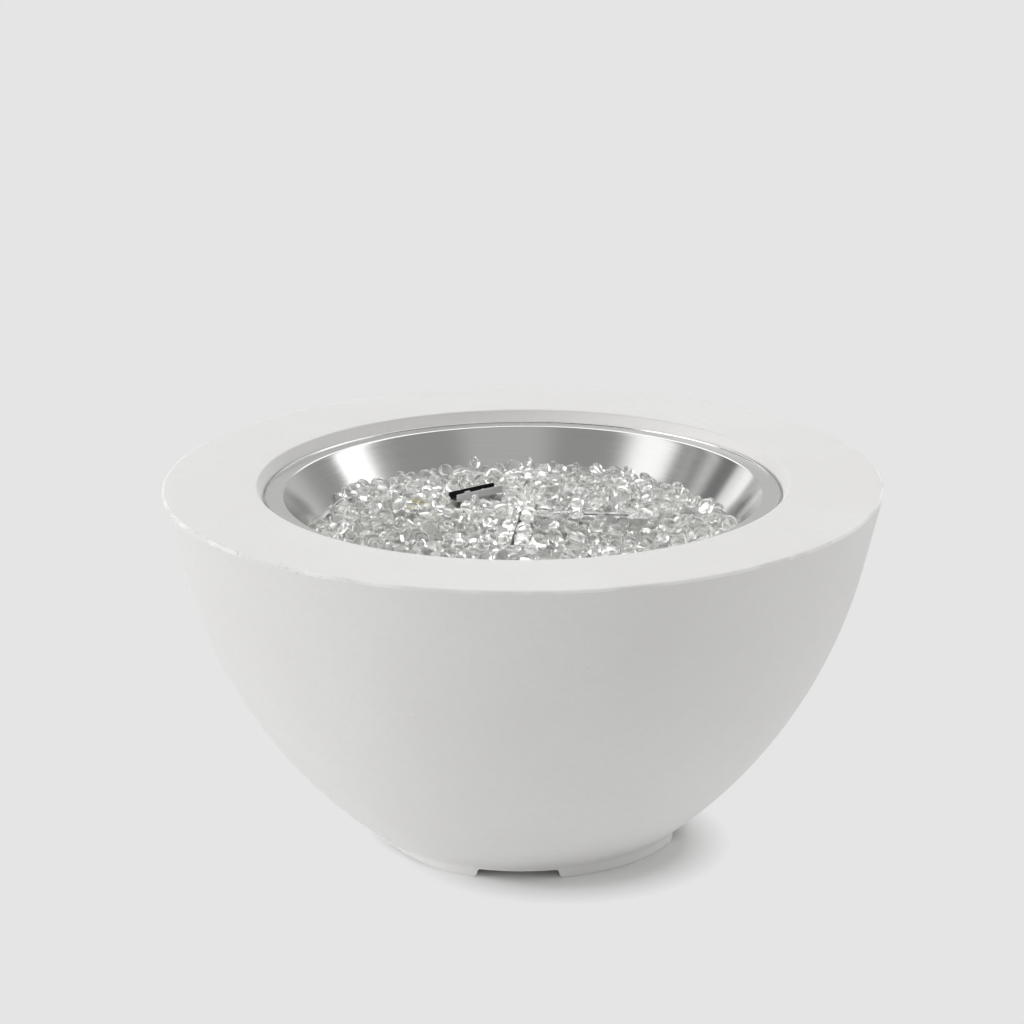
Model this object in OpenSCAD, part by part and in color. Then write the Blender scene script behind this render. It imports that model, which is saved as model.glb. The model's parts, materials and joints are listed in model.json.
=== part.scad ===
// Round concrete fire pit bowl with a drop-in gas burner pan, a cross burner
// under a bed of glass gems, and a push-and-turn gas control let into the back.
// Millimetres, Z up, origin on the floor under the middle of the bowl, front at -Y.

/* [Bowl] */
// Outer diameter across the rim
bowl_d = 1065.9; // [1060:0.1:1070]
// Height from the floor to the top of the rim
bowl_h = 540; // [535:1:545]
// Radius of the curved lower wall, seen in section
curve_r = 746; // [740:1:752]
// Height at which the curve runs into the straight upper wall
bend_z = 429; // [424:1:434]
// Lean of the straight upper wall, in degrees from vertical
wall_lean = 13.7; // [13:0.1:14.4]
// Rounding of the outer rim edge
edge_r = 4.5; // [3:0.5:10]
// Thickness of the cast wall
shell_t = 26; // [24:1:28]
// Thickness of the flat rim plate
plate_t = 50; // [46:1:54]

/* [Opening] */
// Radius of the opening at the top of the rim
lip_top = 393.5; // [392:0.5:396]
// Radius of the opening's leaning wall at the ledge
open_r = 385; // [384:0.5:387]
// Rounding of the inner rim edge
lip_r = 3; // [2:0.5:5]
// Depth of the groove round the flange
groove_h = 6; // [4:1:8]
// Radius of the ledge's inner edge
ledge_r = 362; // [360:1:366]

/* [Foot] */
// Height of the foot ring
foot_h = 16; // [14:1:18]
// Width of the foot ring
foot_w = 45; // [40:1:50]
// Height of the notches in the foot ring
notch_h = 13; // [10:1:13]
// Width of the front, right and rear notches
notch_w = 132; // [110:2:140]
// Turn of the front and rear notches, in degrees
notch_turn = 3.3; // [0:0.1:5]
// Half angle of the wide notch on the left, in degrees
wide_notch = 46; // [30:1:48]
// Radius of the gas entry hole in the floor
entry_r = 100; // [90:1:110]

/* [Burner pan] */
// Top of the pan's flange above the floor
pan_z = 523; // [522:0.5:524]
// Radius of the flange
flange_r = 381; // [380:0.5:382]
// Radius at which the flange turns down into the sloped wall
pan_r = 355.5; // [354:0.5:357]
// Depth of the pan
pan_depth = 83; // [82:0.5:83]
// Sheet thickness
pan_t = 1.5; // [1.2:0.1:1.8]
// Half length of the burner's arms
arm_l = 185; // [170:1:195]
// Width of the burner's arms
arm_w = 30; // [28:1:32]

/* [Controls] */
// Height of the middle of the control panel
panel_z = 300; // [290:5:310]
// Width of the control panel
panel_w = 152; // [150:1:156]
// Height of the control panel
panel_h = 86; // [84:1:90]
// Diameter of the control knob
knob_d = 44; // [38:1:48]
// Diameter of the igniter button
button_d = 17.9; // [17.6:0.1:17.9]

/* [Hidden] */
$fn = 96;
e = 0.01;

// Outer wall in section: a straight leaning top, tangent to the curved lower wall
rim_t = edge_r / tan((90 - wall_lean) / 2);
corner_r = bowl_d / 2 + rim_t - edge_r;
edge_x = corner_r - rim_t;
bend_r = corner_r - (bowl_h - bend_z) * tan(wall_lean);
cx = bend_r - curve_r * cos(wall_lean);
cz = bend_z + curve_r * sin(wall_lean);
in_r = curve_r - shell_t;
in_z = cz - in_r * sin(wall_lean);
in_x = cx + in_r * cos(wall_lean);
under_z = bowl_h - plate_t;
in_top = in_x + (under_z - in_z) * tan(wall_lean);
function wall_r(z) = cx + sqrt(curve_r * curve_r - (z - cz) * (z - cz));
foot_r = wall_r(foot_h);
floor_z = foot_h + 30;
ledge_z = pan_z - pan_t - 0.5;
lip_lean = atan((lip_top - open_r) / (bowl_h - ledge_z));
lip_t = lip_r / tan((90 + lip_lean) / 2);

// Pan: the sloped wall drops 4 for every 3 inward
pan_floor = pan_z - pan_depth;
function pan_in(z) = pan_r - (pan_z - z) * 0.75;
slope_t = pan_t * 1.25;
// Rolled bead along the flange's edge, from the flange's top face round to its underside
bead_r = 1.6;
bead_a0 = 180 - asin(0.1 / bead_r);
bead_a1 = asin((pan_t - 0.1) / bead_r) - 180;

// Burner heights
arm_top = 488;
arm_bot = 462;
arm_t = 1.5;

// Ignition group, between the left and the rear arm of the burner
guard_x = -85;
guard_y = 134;
guard_a = 43;
guard_l = 87;
guard_w = 22;
guard_top = 484;
guard_bot = 473;
spark_x = -20;
probe_x = 14;

// Control panel, in a flat pocket square to the wall
theta = asin((cz - panel_z) / curve_r);
pan_y = wall_r(panel_z);
seat = -9.5;
face = -7.5;
valve_x = 34;
spark_gen_x = -38;
port_z = -50;
function panel_pt(p) = [p[0], pan_y - p[1] * sin(theta) + p[2] * cos(theta),
    panel_z - p[1] * cos(theta) - p[2] * sin(theta)];
function guard_pt(x, z) = [guard_x + x * cos(guard_a), guard_y + x * sin(guard_a), z];

// Routes inside the bowl
gas_route = concat([for (z = [-92.6, -99, -106, -113]) panel_pt([valve_x, 0, z])],
    [[32, 310, 354], [26, 250, 326], [17, 180, 268], [9, 110, 214], [3, 50, 190],
     [0, 12, 208], [0, 0, 250], [0, 0, 296], [0, 0, 321.5]]);
spark_route = concat([panel_pt([spark_gen_x, 0, -72.2]), panel_pt([spark_gen_x, 0, -90])],
    [[-48, 340, 338], [-75, 270, 322], [-102, 200, 318], [-106, 150, 340]],
    [guard_pt(spark_x, 376), guard_pt(spark_x, 390), guard_pt(spark_x, 402)]);
probe_route = concat([for (x = [22.3, 26, 30]) panel_pt([valve_x - x, 0, -40])],
    [[-6, 412, 322], [-10, 385, 332], [-16, 330, 340], [-36, 250, 330], [-64, 190, 330]],
    [guard_pt(probe_x, 372), guard_pt(probe_x, 388), guard_pt(probe_x, 400)]);

// Smooth curve through route points, and a tube swept along it
function at(p, i) = p[max(0, min(len(p) - 1, i))];
function knot(p, i, t) =
    let (a = at(p, i - 1), b = at(p, i), c = at(p, i + 1), d = at(p, i + 2))
    0.5 * (2 * b + (c - a) * t + (2 * a - 5 * b + 4 * c - d) * t * t
        + (3 * b - a - 3 * c + d) * t * t * t);
function smooth(p, n) = concat([for (i = [0:len(p) - 2], k = [0:n - 1]) knot(p, i, k / n)],
    [p[len(p) - 1]]);
function unit(v) = v / norm(v);
function tangent(p, i) = i == 0 ? unit(p[1] - p[0])
    : i == len(p) - 1 ? unit(p[i] - p[i - 1]) : unit(p[i + 1] - p[i - 1]);
function across(v) = unit(abs(v[2]) < 0.8 ? cross(v, [0, 0, 1]) : cross(v, [1, 0, 0]));
function carry(a, t) = unit(a - (a * t) * t);
function frames(p) = [for (i = 0, a = across(tangent(p, 0)); i < len(p);
    i = i + 1, a = i < len(p) ? carry(a, tangent(p, i)) : a) a];
module tube(p, r, m) {
    n = len(p);
    f = frames(p);
    pts = [for (i = [0:n - 1], k = [0:m - 1])
        let (t = tangent(p, i), a = f[i], b = cross(t, a), w = 360 * k / m)
        p[i] + r * (cos(w) * a + sin(w) * b)];
    side = [for (i = [0:n - 2], k = [0:m - 1])
        [i * m + k, (i + 1) * m + k, (i + 1) * m + (k + 1) % m, i * m + (k + 1) % m]];
    polyhedron(pts, concat([[for (k = [0:m - 1]) k]], side,
        [[for (k = [m - 1:-1:0]) (n - 1) * m + k]]), convexity = 8);
}
module coil(r, wire, z0, z1, turns) {
    n = turns * 14;
    tube([for (i = [0:n]) [r * cos(360 * turns * i / n), r * sin(360 * turns * i / n),
        z0 + (z1 - z0) * i / n]], wire, 8);
}

// Frames that repeat
module at_panel() translate([0, pan_y, panel_z]) rotate([-(90 + theta), 0, 0]) children();
module at_valve() at_panel() translate([valve_x, 0, 0]) children();
module at_spark() at_panel() translate([spark_gen_x, 0, 0]) children();
module at_guard() translate([guard_x, guard_y, 0]) rotate([0, 0, guard_a]) children();
module rod(r, z0, z1) translate([0, 0, z0]) cylinder(r = r, h = z1 - z0);
module ring(r1, r0, z0, z1) difference() { rod(r1, z0, z1); rod(r0, z0 - 1, z1 + 1); }
module hex(r, z0, z1) translate([0, 0, z0]) cylinder(r = r, h = z1 - z0, $fn = 6);
module plate(w, h, r, z0, z1) translate([0, 0, z0]) linear_extrude(z1 - z0) union() {
    square([w - 2 * r, h], center = true);
    square([w, h - 2 * r], center = true);
    for (x = [-1, 1], y = [-1, 1]) translate([x * (w / 2 - r), y * (h / 2 - r)]) circle(r = r);
}
module corners(x, y) for (i = [-1, 1], j = [-1, 1]) translate([i * x, j * y, 0]) children();
screw_x = 68;
screw_y = 35;

module bowl_section() difference() {
    union() {
        intersection() {
            translate([cx, cz]) circle(r = curve_r, $fn = 720);
            translate([0, foot_h]) square([bowl_d, bend_z - foot_h]);
        }
        polygon([[0, bend_z], [bend_r, bend_z],
            [edge_x + edge_r * cos(wall_lean), bowl_h - edge_r - edge_r * sin(wall_lean)],
            [edge_x, bowl_h - edge_r], [edge_x, bowl_h], [0, bowl_h]]);
        intersection() {
            translate([edge_x, bowl_h - edge_r]) circle(r = edge_r);
            polygon([[edge_x, bowl_h - edge_r], [edge_x, bowl_h + 5], [edge_x + 30, bowl_h + 5],
                [edge_x + 30 * cos(wall_lean), bowl_h - edge_r - 30 * sin(wall_lean)]]);
        }
        square([foot_r, foot_h + e]);
    }
    intersection() {
        translate([cx, cz]) circle(r = in_r, $fn = 720);
        translate([-1, floor_z]) square([bowl_d, in_z - floor_z]);
    }
    polygon([[-1, in_z - e], [in_x, in_z - e], [in_x, in_z], [in_top, under_z], [-1, under_z]]);
    translate([-1, under_z - 1]) square([ledge_r + 1, plate_t + 2]);
    polygon([[-1, ledge_z], [open_r, ledge_z], [lip_top, bowl_h], [lip_top, bowl_h + 1], [-1, bowl_h + 1]]);
    translate([flange_r + 0.6, ledge_z - groove_h]) square([open_r - flange_r - 0.6, groove_h + 1]);
    translate([-1, -1]) square([entry_r + 1, floor_z + 2]);
    translate([-1, -1]) square([foot_r - foot_w + 1, foot_h + 1]);
    difference() {
        polygon([[lip_top - 2, bowl_h + 1], [lip_top + lip_t, bowl_h + 1], [lip_top + lip_t, bowl_h - lip_r],
            [lip_top + lip_t - (lip_r + 1) * cos(lip_lean), bowl_h - lip_r + (lip_r + 1) * sin(lip_lean)]]);
        translate([lip_top + lip_t, bowl_h - lip_r]) circle(r = lip_r);
    }
}

module concrete_bowl() color([0.86, 0.86, 0.84]) difference() {
    rotate_extrude($fn = 240) bowl_section();
    for (a = [notch_turn - 90, 0, notch_turn + 90]) rotate([0, 0, a])
        translate([150, 0, 0]) rotate([90, 0, 90]) linear_extrude(150) hull() {
            translate([-notch_w / 2, -1]) square([notch_w, 2]);
            for (i = [-1, 1]) translate([i * (notch_w / 2 - 6), notch_h - 6]) circle(r = 6);
        }
    translate([0, 0, -1]) linear_extrude(notch_h + 1)
        polygon([[0, 0], [-400, -400 * tan(wide_notch)], [-400, 400 * tan(wide_notch)]]);
    at_panel() {
        plate(panel_w + 2, panel_h + 2, 7, seat, 60);
        plate(110, 60, 8, -70, 0);
        corners(screw_x, screw_y) rod(3.55, seat - 14, 0);
    }
}

module burner_pan() color([0.78, 0.78, 0.77]) difference() {
    rotate_extrude($fn = 240) polygon(concat(
        [[0, pan_floor], [pan_in(pan_floor), pan_floor], [pan_r, pan_z]],
        [for (i = [0:20]) let (a = bead_a0 + (bead_a1 - bead_a0) * i / 20)
            [flange_r - bead_r + bead_r * cos(a), pan_z - 0.1 + bead_r * sin(a)]],
        [[pan_in(pan_z - pan_t) + slope_t, pan_z - pan_t],
         [pan_in(pan_floor - pan_t) + slope_t, pan_floor - pan_t], [0, pan_floor - pan_t]]));
    rod(10.8, pan_floor - 5, pan_floor + 5);
    for (a = [0:60:300]) rotate([0, 0, a + 15]) translate([255, 0, 0])
        rod(3.5, pan_floor - 5, pan_floor + 5);
    at_guard() {
        translate([spark_x, 0, 0]) rod(4.3, pan_floor - 5, pan_floor + 5);
        translate([probe_x, 0, 0]) rod(2.7, pan_floor - 5, pan_floor + 5);
        for (x = [-34, 34]) translate([x, 0, 0]) rod(2.1, pan_floor - 5, pan_floor + 5);
    }
}

module cross_block(l, w, z0, z1) for (a = [0, 90]) rotate([0, 0, a])
    translate([-l, -w / 2, z0]) cube([2 * l, w, z1 - z0]);

module fire_glass() color([0.82, 0.87, 0.84, 0.6]) difference() {
    rotate_extrude($fn = 180) polygon([[0, pan_floor + 0.2], [pan_in(pan_floor) - 0.6, pan_floor + 0.2],
        [pan_in(468) - 0.6, 468], [250, 474], [120, 480], [0, 481]]);
    cross_block(arm_l + 2.5, arm_w + 1.6, pan_floor - 1, 500);
    rod(30, pan_floor - 1, 500);
    at_guard() translate([-guard_l / 2 - 1, -guard_w / 2 - 1, pan_floor - 1])
        cube([guard_l + 2, guard_w + 2, 60]);
}

module burner_cross() color([0.6, 0.6, 0.6]) difference() {
    cross_block(arm_l, arm_w, arm_bot, arm_top);
    cross_block(arm_l + 1, arm_w - 2 * arm_t, arm_bot + arm_t, arm_top - arm_t);
    rod(10.6, arm_bot - 1, arm_bot + arm_t + 1);
    for (a = [0:90:270]) rotate([0, 0, a]) {
        for (x = [26:20:166], y = [-8, 8]) translate([x, y, 0]) rod(1.3, arm_top - 3, arm_top + 1);
        translate([-1, -0.9, arm_top - arm_t - 1]) cube([arm_l - 14, 1.8, 4]);
    }
}

module burner_end_caps() color([0.6, 0.6, 0.6]) for (a = [0:90:270]) rotate([0, 0, a])
    translate([arm_l, -arm_w / 2, pan_floor]) cube([1.5, arm_w, arm_top - pan_floor]);

module riser_nipple() color([0.55, 0.55, 0.54]) ring(10.5, 8, 406, arm_bot + arm_t);
module pan_gasket() color([0.25, 0.25, 0.25]) ring(24, 10.8, pan_floor - pan_t - 3, pan_floor - pan_t);
module burner_lock_nut() color([0.7, 0.6, 0.35])
    difference() { hex(19, 427, pan_floor - pan_t - 3); rod(10.6, 420, 440); }

module air_windows(r, z0, z1) for (a = [0, 180]) rotate([0, 0, a])
    translate([5, -7, z0]) cube([r, 14, z1 - z0]);
module mixer_body() color([0.72, 0.72, 0.7]) difference() {
    rod(16, 350, 420);
    rod(13, 353, 404);
    rod(10.6, 400, 421);
    rod(7.1, 349, 354);
    air_windows(30, 362, 386);
}
module air_shutter() color([0.65, 0.65, 0.64]) difference() {
    union() {
        rod(18, 356, 392);
        translate([-2, 17, 370]) cube([4, 12, 8]);
    }
    rod(16.05, 355, 393);
    air_windows(30, 362, 386);
    translate([0, 0, 374]) rotate([90, 0, 0]) rod(1.6, 10, 30);
}
module shutter_screw() color([0.5, 0.5, 0.5]) translate([0, 0, 374]) rotate([90, 0, 0]) union() {
    rod(1.5, 16.4, 18.5);
    difference() { rod(3.2, 18.2, 20.6); translate([-5, -0.5, 19.8]) cube([10, 1, 3]); }
}
module burner_inlet() color([0.78, 0.63, 0.3]) difference() {
    union() {
        rod(7.94, 322, 341);
        hex(11.5, 340, 350);
        rod(7.0, 349, 362);
    }
    rod(4.5, 321, 345);
    rod(0.9, 340, 363);
}

// Ignition group
module guard_wall() rotate([90, 0, 0]) linear_extrude(1.2) union() {
    translate([-guard_l / 2, guard_bot]) square([guard_l - 4.5, guard_top - guard_bot]);
    translate([guard_l / 2 - 5, guard_bot + 4.5]) square([5, guard_top - guard_bot - 9]);
    for (z = [guard_bot + 4.5, guard_top - 4.5]) translate([guard_l / 2 - 4.5, z]) circle(r = 4.5, $fn = 48);
}
module electrode_guard() color([0.5, 0.5, 0.51]) at_guard() difference() {
    union() {
        translate([0, guard_w / 2, 0]) guard_wall();
        translate([0, -guard_w / 2 + 1.2, 0]) guard_wall();
        translate([-guard_l / 2, -guard_w / 2, guard_bot]) cube([guard_l - 6.5, guard_w, 1.2]);
    }
    translate([spark_x, 0, 0]) rod(4.4, 470, 480);
    translate([probe_x, 0, 0]) rod(2.8, 470, 480);
    for (x = [-32, 28]) translate([x, 0, 0]) rod(1.6, 470, 480);
}
module electrode_bracket() color([0.55, 0.55, 0.55]) at_guard() difference() {
    union() {
        translate([-39, -10, pan_floor]) cube([78, 20, 1.5]);
        translate([-39, 8.5, pan_floor]) cube([72, 1.5, guard_bot - pan_floor]);
        translate([-39, -10, guard_bot - 1.5]) cube([72, 20, 1.5]);
    }
    translate([spark_x, 0, 0]) rod(4.3, pan_floor - 1, 480);
    translate([probe_x, 0, 0]) rod(2.7, pan_floor - 1, 480);
    for (x = [-34, 34]) translate([x, 0, 0]) rod(2.1, pan_floor - 1, pan_floor + 3);
    for (x = [-32, 28]) translate([x, 0, 0]) rod(1.6, 465, 480);
}
module bracket_screws() color([0.6, 0.6, 0.6]) at_guard() for (x = [-34, 34]) translate([x, 0, 0]) {
    rod(2, pan_floor - 9, pan_floor + 1.6);
    difference() {
        rod(3.6, pan_floor + 1.5, pan_floor + 3.9);
        translate([-4, -0.5, pan_floor + 3]) cube([8, 1, 2]);
    }
}
module bracket_nuts() color([0.6, 0.6, 0.6]) at_guard() for (x = [-34, 34]) translate([x, 0, 0])
    difference() { hex(4, pan_floor - pan_t - 3.2, pan_floor - pan_t); rod(2.05, 430, 445); }
module guard_rivets() color([0.6, 0.6, 0.6]) at_guard() for (x = [-32, 28]) translate([x, 0, 0]) {
    rod(1.5, guard_bot - 2, guard_bot + 1.7);
    rod(2.8, guard_bot + 1.2, guard_bot + 2.3);
    rod(2.8, guard_bot - 2.6, guard_bot - 1.5);
}
module electrode_insulator() color([0.93, 0.91, 0.86]) at_guard() translate([spark_x, 0, 0])
    difference() {
        union() {
            rod(4.2, 424, 478);
            rod(6.5, pan_floor + 1.5, pan_floor + 6.5);
            rod(3.4, 478 - e, 479.5);
        }
        rod(1.25, 420, 485);
    }
module electrode_rod() color([0.35, 0.33, 0.31]) at_guard() translate([spark_x, 0, 0]) union() {
    rod(1.2, 408, 481.6);
    translate([0, 0, 481.6]) sphere(r = 1.2, $fn = 32);
    translate([0, 0, 481.6]) rotate([0, 90, 0]) rod(1.2, 0, 9);
}
module thermocouple_probe() color([0.6, 0.45, 0.3]) at_guard() translate([probe_x, 0, 0]) union() {
    rod(2.5, 417, 479);
    translate([0, 0, 479]) sphere(r = 2.5, $fn = 48);
    rod(4.6, pan_floor + 1.5, pan_floor + 5.5);
    rod(3.9, 408, 418);
}

// Control panel group, in the panel's own frame
module control_panel() color([0.74, 0.74, 0.73]) at_panel() difference() {
    plate(panel_w, panel_h, 6, seat, face);
    corners(screw_x, screw_y) rod(2.2, -12, 0);
    translate([valve_x, 0, 0]) {
        rod(6, -12, 0);
        for (x = [-12, 12]) translate([x, 0, 0]) {
            rod(2.1, -12, 0);
            translate([0, 0, face - 1.6]) cylinder(r1 = 2.1, r2 = 3.9, h = 1.65);
        }
    }
    translate([spark_gen_x, 0, 0]) rod(11.1, -12, 0);
}
module panel_screws() color([0.68, 0.68, 0.67]) at_panel() corners(screw_x, screw_y) {
    rod(2, -21, face + 0.2);
    difference() {
        intersection() {
            rod(4.2, face, face + 2.4);
            translate([0, 0, face - 4]) sphere(r = 6.3, $fn = 64);
        }
        hex(1.6, face + 0.9, 0);
    }
}
module panel_inserts() color([0.75, 0.6, 0.3]) at_panel() corners(screw_x, screw_y)
    ring(3.5, 2.05, seat - 14, seat);

module valve_body() color([0.7, 0.68, 0.6]) at_valve() difference() {
    union() {
        rod(17, -66, seat);
        translate([0, 0, port_z]) rotate([-90, 0, 0]) rod(11, 0, 22);
        translate([0, 0, -40]) rotate([0, -90, 0]) rod(7, 0, 22);
    }
    rod(7.05, -67, -22);
    rod(4.05, -23, 0);
    translate([0, 0, port_z]) rotate([-90, 0, 0]) rod(5, 0, 23);
    for (x = [-12, 12]) translate([x, 0, 0]) rod(2.05, -21, 0);
}
module valve_screws() color([0.6, 0.6, 0.6]) at_valve() for (x = [-12, 12]) translate([x, 0, 0]) {
    rod(2, -20, face - 1.5);
    difference() {
        translate([0, 0, face - 1.6]) cylinder(r1 = 2, r2 = 3.75, h = 1.6);
        translate([-4, -0.5, face - 0.8]) cube([8, 1, 2]);
    }
}
module valve_plug() color([0.76, 0.62, 0.32]) at_valve() difference() {
    rod(7, -58, -22.5);
    rod(3.05, -46, -22);
    translate([0, 0, port_z]) rotate([-90, 0, 0]) rod(2.6, 0, 9);
    rod(2.6, -59, port_z);
}
module valve_stem() color([0.66, 0.66, 0.65]) at_valve() difference() {
    union() {
        rod(3, -34, -16);
        rod(4, -17, 14);
    }
    translate([-5, 2.8, 0]) cube([10, 5, 20]);
}
module stem_spring() color([0.6, 0.6, 0.6]) at_valve() coil(2.3, 0.35, -45.6, -34.4, 5);
module control_knob() color([0.09, 0.09, 0.09]) at_valve() difference() {
    union() {
        rod(knob_d / 2, -2.5, 3);
        translate([0, 0, 3]) cylinder(r1 = knob_d / 2, r2 = 17.6, h = 2.5);
        rod(17.6, 5, 22.5);
        translate([0, 0, 22.5]) cylinder(r1 = 17.6, r2 = 16, h = 1.5);
    }
    difference() {
        rod(4.02, -3, 14.05);
        translate([-5, 2.82, 0]) cube([10, 5, 20]);
    }
    rod(13, -3, 1);
    for (a = [15:30:345]) rotate([0, 0, a]) translate([19.2, 0, 0]) rod(3.1, 6.5, 30);
    translate([-1, -17, 23.2]) cube([2, 12, 3]);
    translate([0, 0, 9]) rotate([90, 0, 0]) rod(2.1, 3, 30);
}
module knob_set_screw() color([0.4, 0.4, 0.4]) at_valve() translate([0, 0, 9]) rotate([90, 0, 0])
    difference() { rod(2, 4.1, 11); hex(1, 9, 12); }
module inlet_fitting() color([0.78, 0.63, 0.3]) at_valve() translate([0, 0, port_z]) rotate([-90, 0, 0])
    difference() {
        union() {
            rod(4.9, 12, 23);
            hex(11.5, 22, 32);
            rod(7.94, 31, 46);
        }
        rod(3.4, 11, 47);
    }
module outlet_fitting() color([0.78, 0.63, 0.3]) at_valve() difference() {
    union() {
        rod(7.0, -67, -60.5);
        hex(11.5, -76, -66);
        rod(7.94, -92, -75);
    }
    rod(4.5, -93, -60);
}

module igniter_body() color([0.12, 0.12, 0.12]) at_spark() difference() {
    union() {
        rod(11, -64, -7);
        rod(15, face, face + 3);
    }
    rod(9.0, -16, 0);
    rod(5.6, -62, -10);
}
module igniter_nut() color([0.2, 0.2, 0.2]) at_spark()
    difference() { hex(15.5, seat - 6, seat); rod(11.05, -20, 0); }
module igniter_button() color([0.07, 0.07, 0.07]) at_spark() union() {
    rod(button_d / 2, -12, 1);
    translate([0, 0, 1]) cylinder(r1 = button_d / 2, r2 = button_d / 2 - 1.2, h = 1.2);
}
module igniter_spring() color([0.6, 0.6, 0.6]) at_spark() coil(7.2, 0.5, -15.4, -12.6, 2);
module igniter_terminals() color([0.75, 0.62, 0.35]) at_spark() for (x = [0, 7])
    translate([x - 2.4, -0.4, -72]) cube([4.8, 0.8, 8]);
module battery() color([0.3, 0.3, 0.32]) at_spark() union() {
    rod(5.25, -61.5, -18.2);
    rod(1.9, -18.3, -17);
}

// Lines inside the bowl
module flex_gas_line() color([0.7, 0.7, 0.66]) tube(smooth(gas_route, 4), 6.9, 12);
module flare_nuts() color([0.78, 0.63, 0.3]) {
    at_valve() difference() { hex(12.7, -104, -78); rod(8.02, -92.1, -77); rod(7.2, -105, -90); }
    difference() { hex(12.7, 308, 336); rod(8.4, 321.9, 337); rod(7.2, 300, 323); }
}
module ignition_lead() color([0.75, 0.25, 0.12]) tube(smooth(spark_route, 4), 2, 8);
module lead_connector() color([0.15, 0.15, 0.15]) at_guard() translate([spark_x, 0, 0])
    difference() { rod(3.4, 402, 418); rod(1.6, 406.5, 419); }
module thermocouple_lead() color([0.72, 0.42, 0.25]) tube(smooth(probe_route, 4), 1.5, 8);
module thermocouple_nut() color([0.78, 0.63, 0.3]) at_guard() translate([probe_x, 0, 0])
    difference() { hex(6.6, 400, 417); rod(4.3, 406.5, 418); }

concrete_bowl();
burner_pan();
fire_glass();
burner_cross();
burner_end_caps();
riser_nipple();
pan_gasket();
burner_lock_nut();
mixer_body();
air_shutter();
shutter_screw();
burner_inlet();
electrode_guard();
electrode_bracket();
bracket_screws();
bracket_nuts();
guard_rivets();
electrode_insulator();
electrode_rod();
thermocouple_probe();
control_panel();
panel_screws();
panel_inserts();
valve_body();
valve_screws();
valve_plug();
valve_stem();
stem_spring();
control_knob();
knob_set_screw();
inlet_fitting();
outlet_fitting();
igniter_body();
igniter_nut();
igniter_button();
igniter_spring();
igniter_terminals();
battery();
flex_gas_line();
flare_nuts();
ignition_lead();
lead_connector();
thermocouple_lead();
thermocouple_nut();
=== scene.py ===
"""Looks of the gas fire pit bowl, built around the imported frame. Metres, Z up, front at -Y."""
import json
import math

import bmesh
import bpy
import numpy as np
from mathutils import Matrix, Vector


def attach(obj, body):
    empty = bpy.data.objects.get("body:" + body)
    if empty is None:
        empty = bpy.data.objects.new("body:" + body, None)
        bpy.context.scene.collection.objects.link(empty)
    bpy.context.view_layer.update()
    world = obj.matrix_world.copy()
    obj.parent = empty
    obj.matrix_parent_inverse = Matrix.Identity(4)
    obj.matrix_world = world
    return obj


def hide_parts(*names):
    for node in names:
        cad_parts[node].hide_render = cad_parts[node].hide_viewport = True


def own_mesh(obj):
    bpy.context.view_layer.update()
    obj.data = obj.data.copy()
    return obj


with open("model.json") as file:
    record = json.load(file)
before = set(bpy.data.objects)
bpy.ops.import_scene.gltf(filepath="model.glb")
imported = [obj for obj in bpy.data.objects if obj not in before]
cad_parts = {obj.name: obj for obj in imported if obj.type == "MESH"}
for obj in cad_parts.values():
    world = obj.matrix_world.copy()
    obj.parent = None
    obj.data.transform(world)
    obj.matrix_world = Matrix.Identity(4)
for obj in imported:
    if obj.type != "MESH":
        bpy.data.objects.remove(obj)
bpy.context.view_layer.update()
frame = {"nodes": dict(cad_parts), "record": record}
nodes = frame["nodes"]
scene = bpy.context.scene
rad = math.radians
TURN = rad(5.5)          # the object stands turned this much from square to the camera
MM = 0.001


# ------------------------------------------------------------------ camera and studio
def make_camera():
    f_px, dist, high = 3565.7, 5.0720, 2.0276
    pitch, yaw, roll = rad(16.872), rad(0.180), rad(0.299)
    right = Vector((math.cos(yaw), math.sin(yaw), 0))
    ahead = Vector((-math.sin(yaw), math.cos(yaw), 0))
    down = Vector((0, 0, -1))
    fwd = math.cos(pitch) * ahead + math.sin(pitch) * down
    up = math.sin(pitch) * ahead - math.cos(pitch) * down
    rf = math.cos(roll) * right - math.sin(roll) * up
    uf = math.sin(roll) * right + math.cos(roll) * up
    m = Matrix((rf, uf, -fwd)).transposed().to_4x4()
    m.translation = Vector((0, -dist, high))
    data = bpy.data.cameras.new("camera")
    data.sensor_fit = "HORIZONTAL"
    data.sensor_width = 36.0
    data.lens = f_px * 36.0 / 1024.0
    data.clip_start, data.clip_end = 0.05, 200.0
    cam = bpy.data.objects.new("camera", data)
    scene.collection.objects.link(cam)
    cam.matrix_world = Matrix.Rotation(TURN, 4, "Z") @ m
    scene.camera = cam


def node(nt, kind, ins=None, **props):
    n = nt.nodes.new(kind)
    for k, v in props.items():
        setattr(n, k, v)
    for k, v in (ins or {}).items():
        if isinstance(v, bpy.types.NodeSocket):
            nt.links.new(v, n.inputs[k])
        else:
            n.inputs[k].default_value = v
    return n


def math_node(nt, op, *vals, clamp=False):
    n = nt.nodes.new("ShaderNodeMath")
    n.operation = op
    n.use_clamp = clamp
    for i, v in enumerate(vals):
        if isinstance(v, bpy.types.NodeSocket):
            nt.links.new(v, n.inputs[i])
        else:
            n.inputs[i].default_value = v
    return n.outputs[0]


def ramp(nt, value, lo, hi, a=0.0, b=1.0, smooth=True):
    n = nt.nodes.new("ShaderNodeMapRange")
    n.interpolation_type = "SMOOTHSTEP" if smooth else "LINEAR"
    n.clamp = True
    nt.links.new(value, n.inputs["Value"])
    for k, v in (("From Min", lo), ("From Max", hi), ("To Min", a), ("To Max", b)):
        n.inputs[k].default_value = v
    return n.outputs["Result"]


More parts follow.
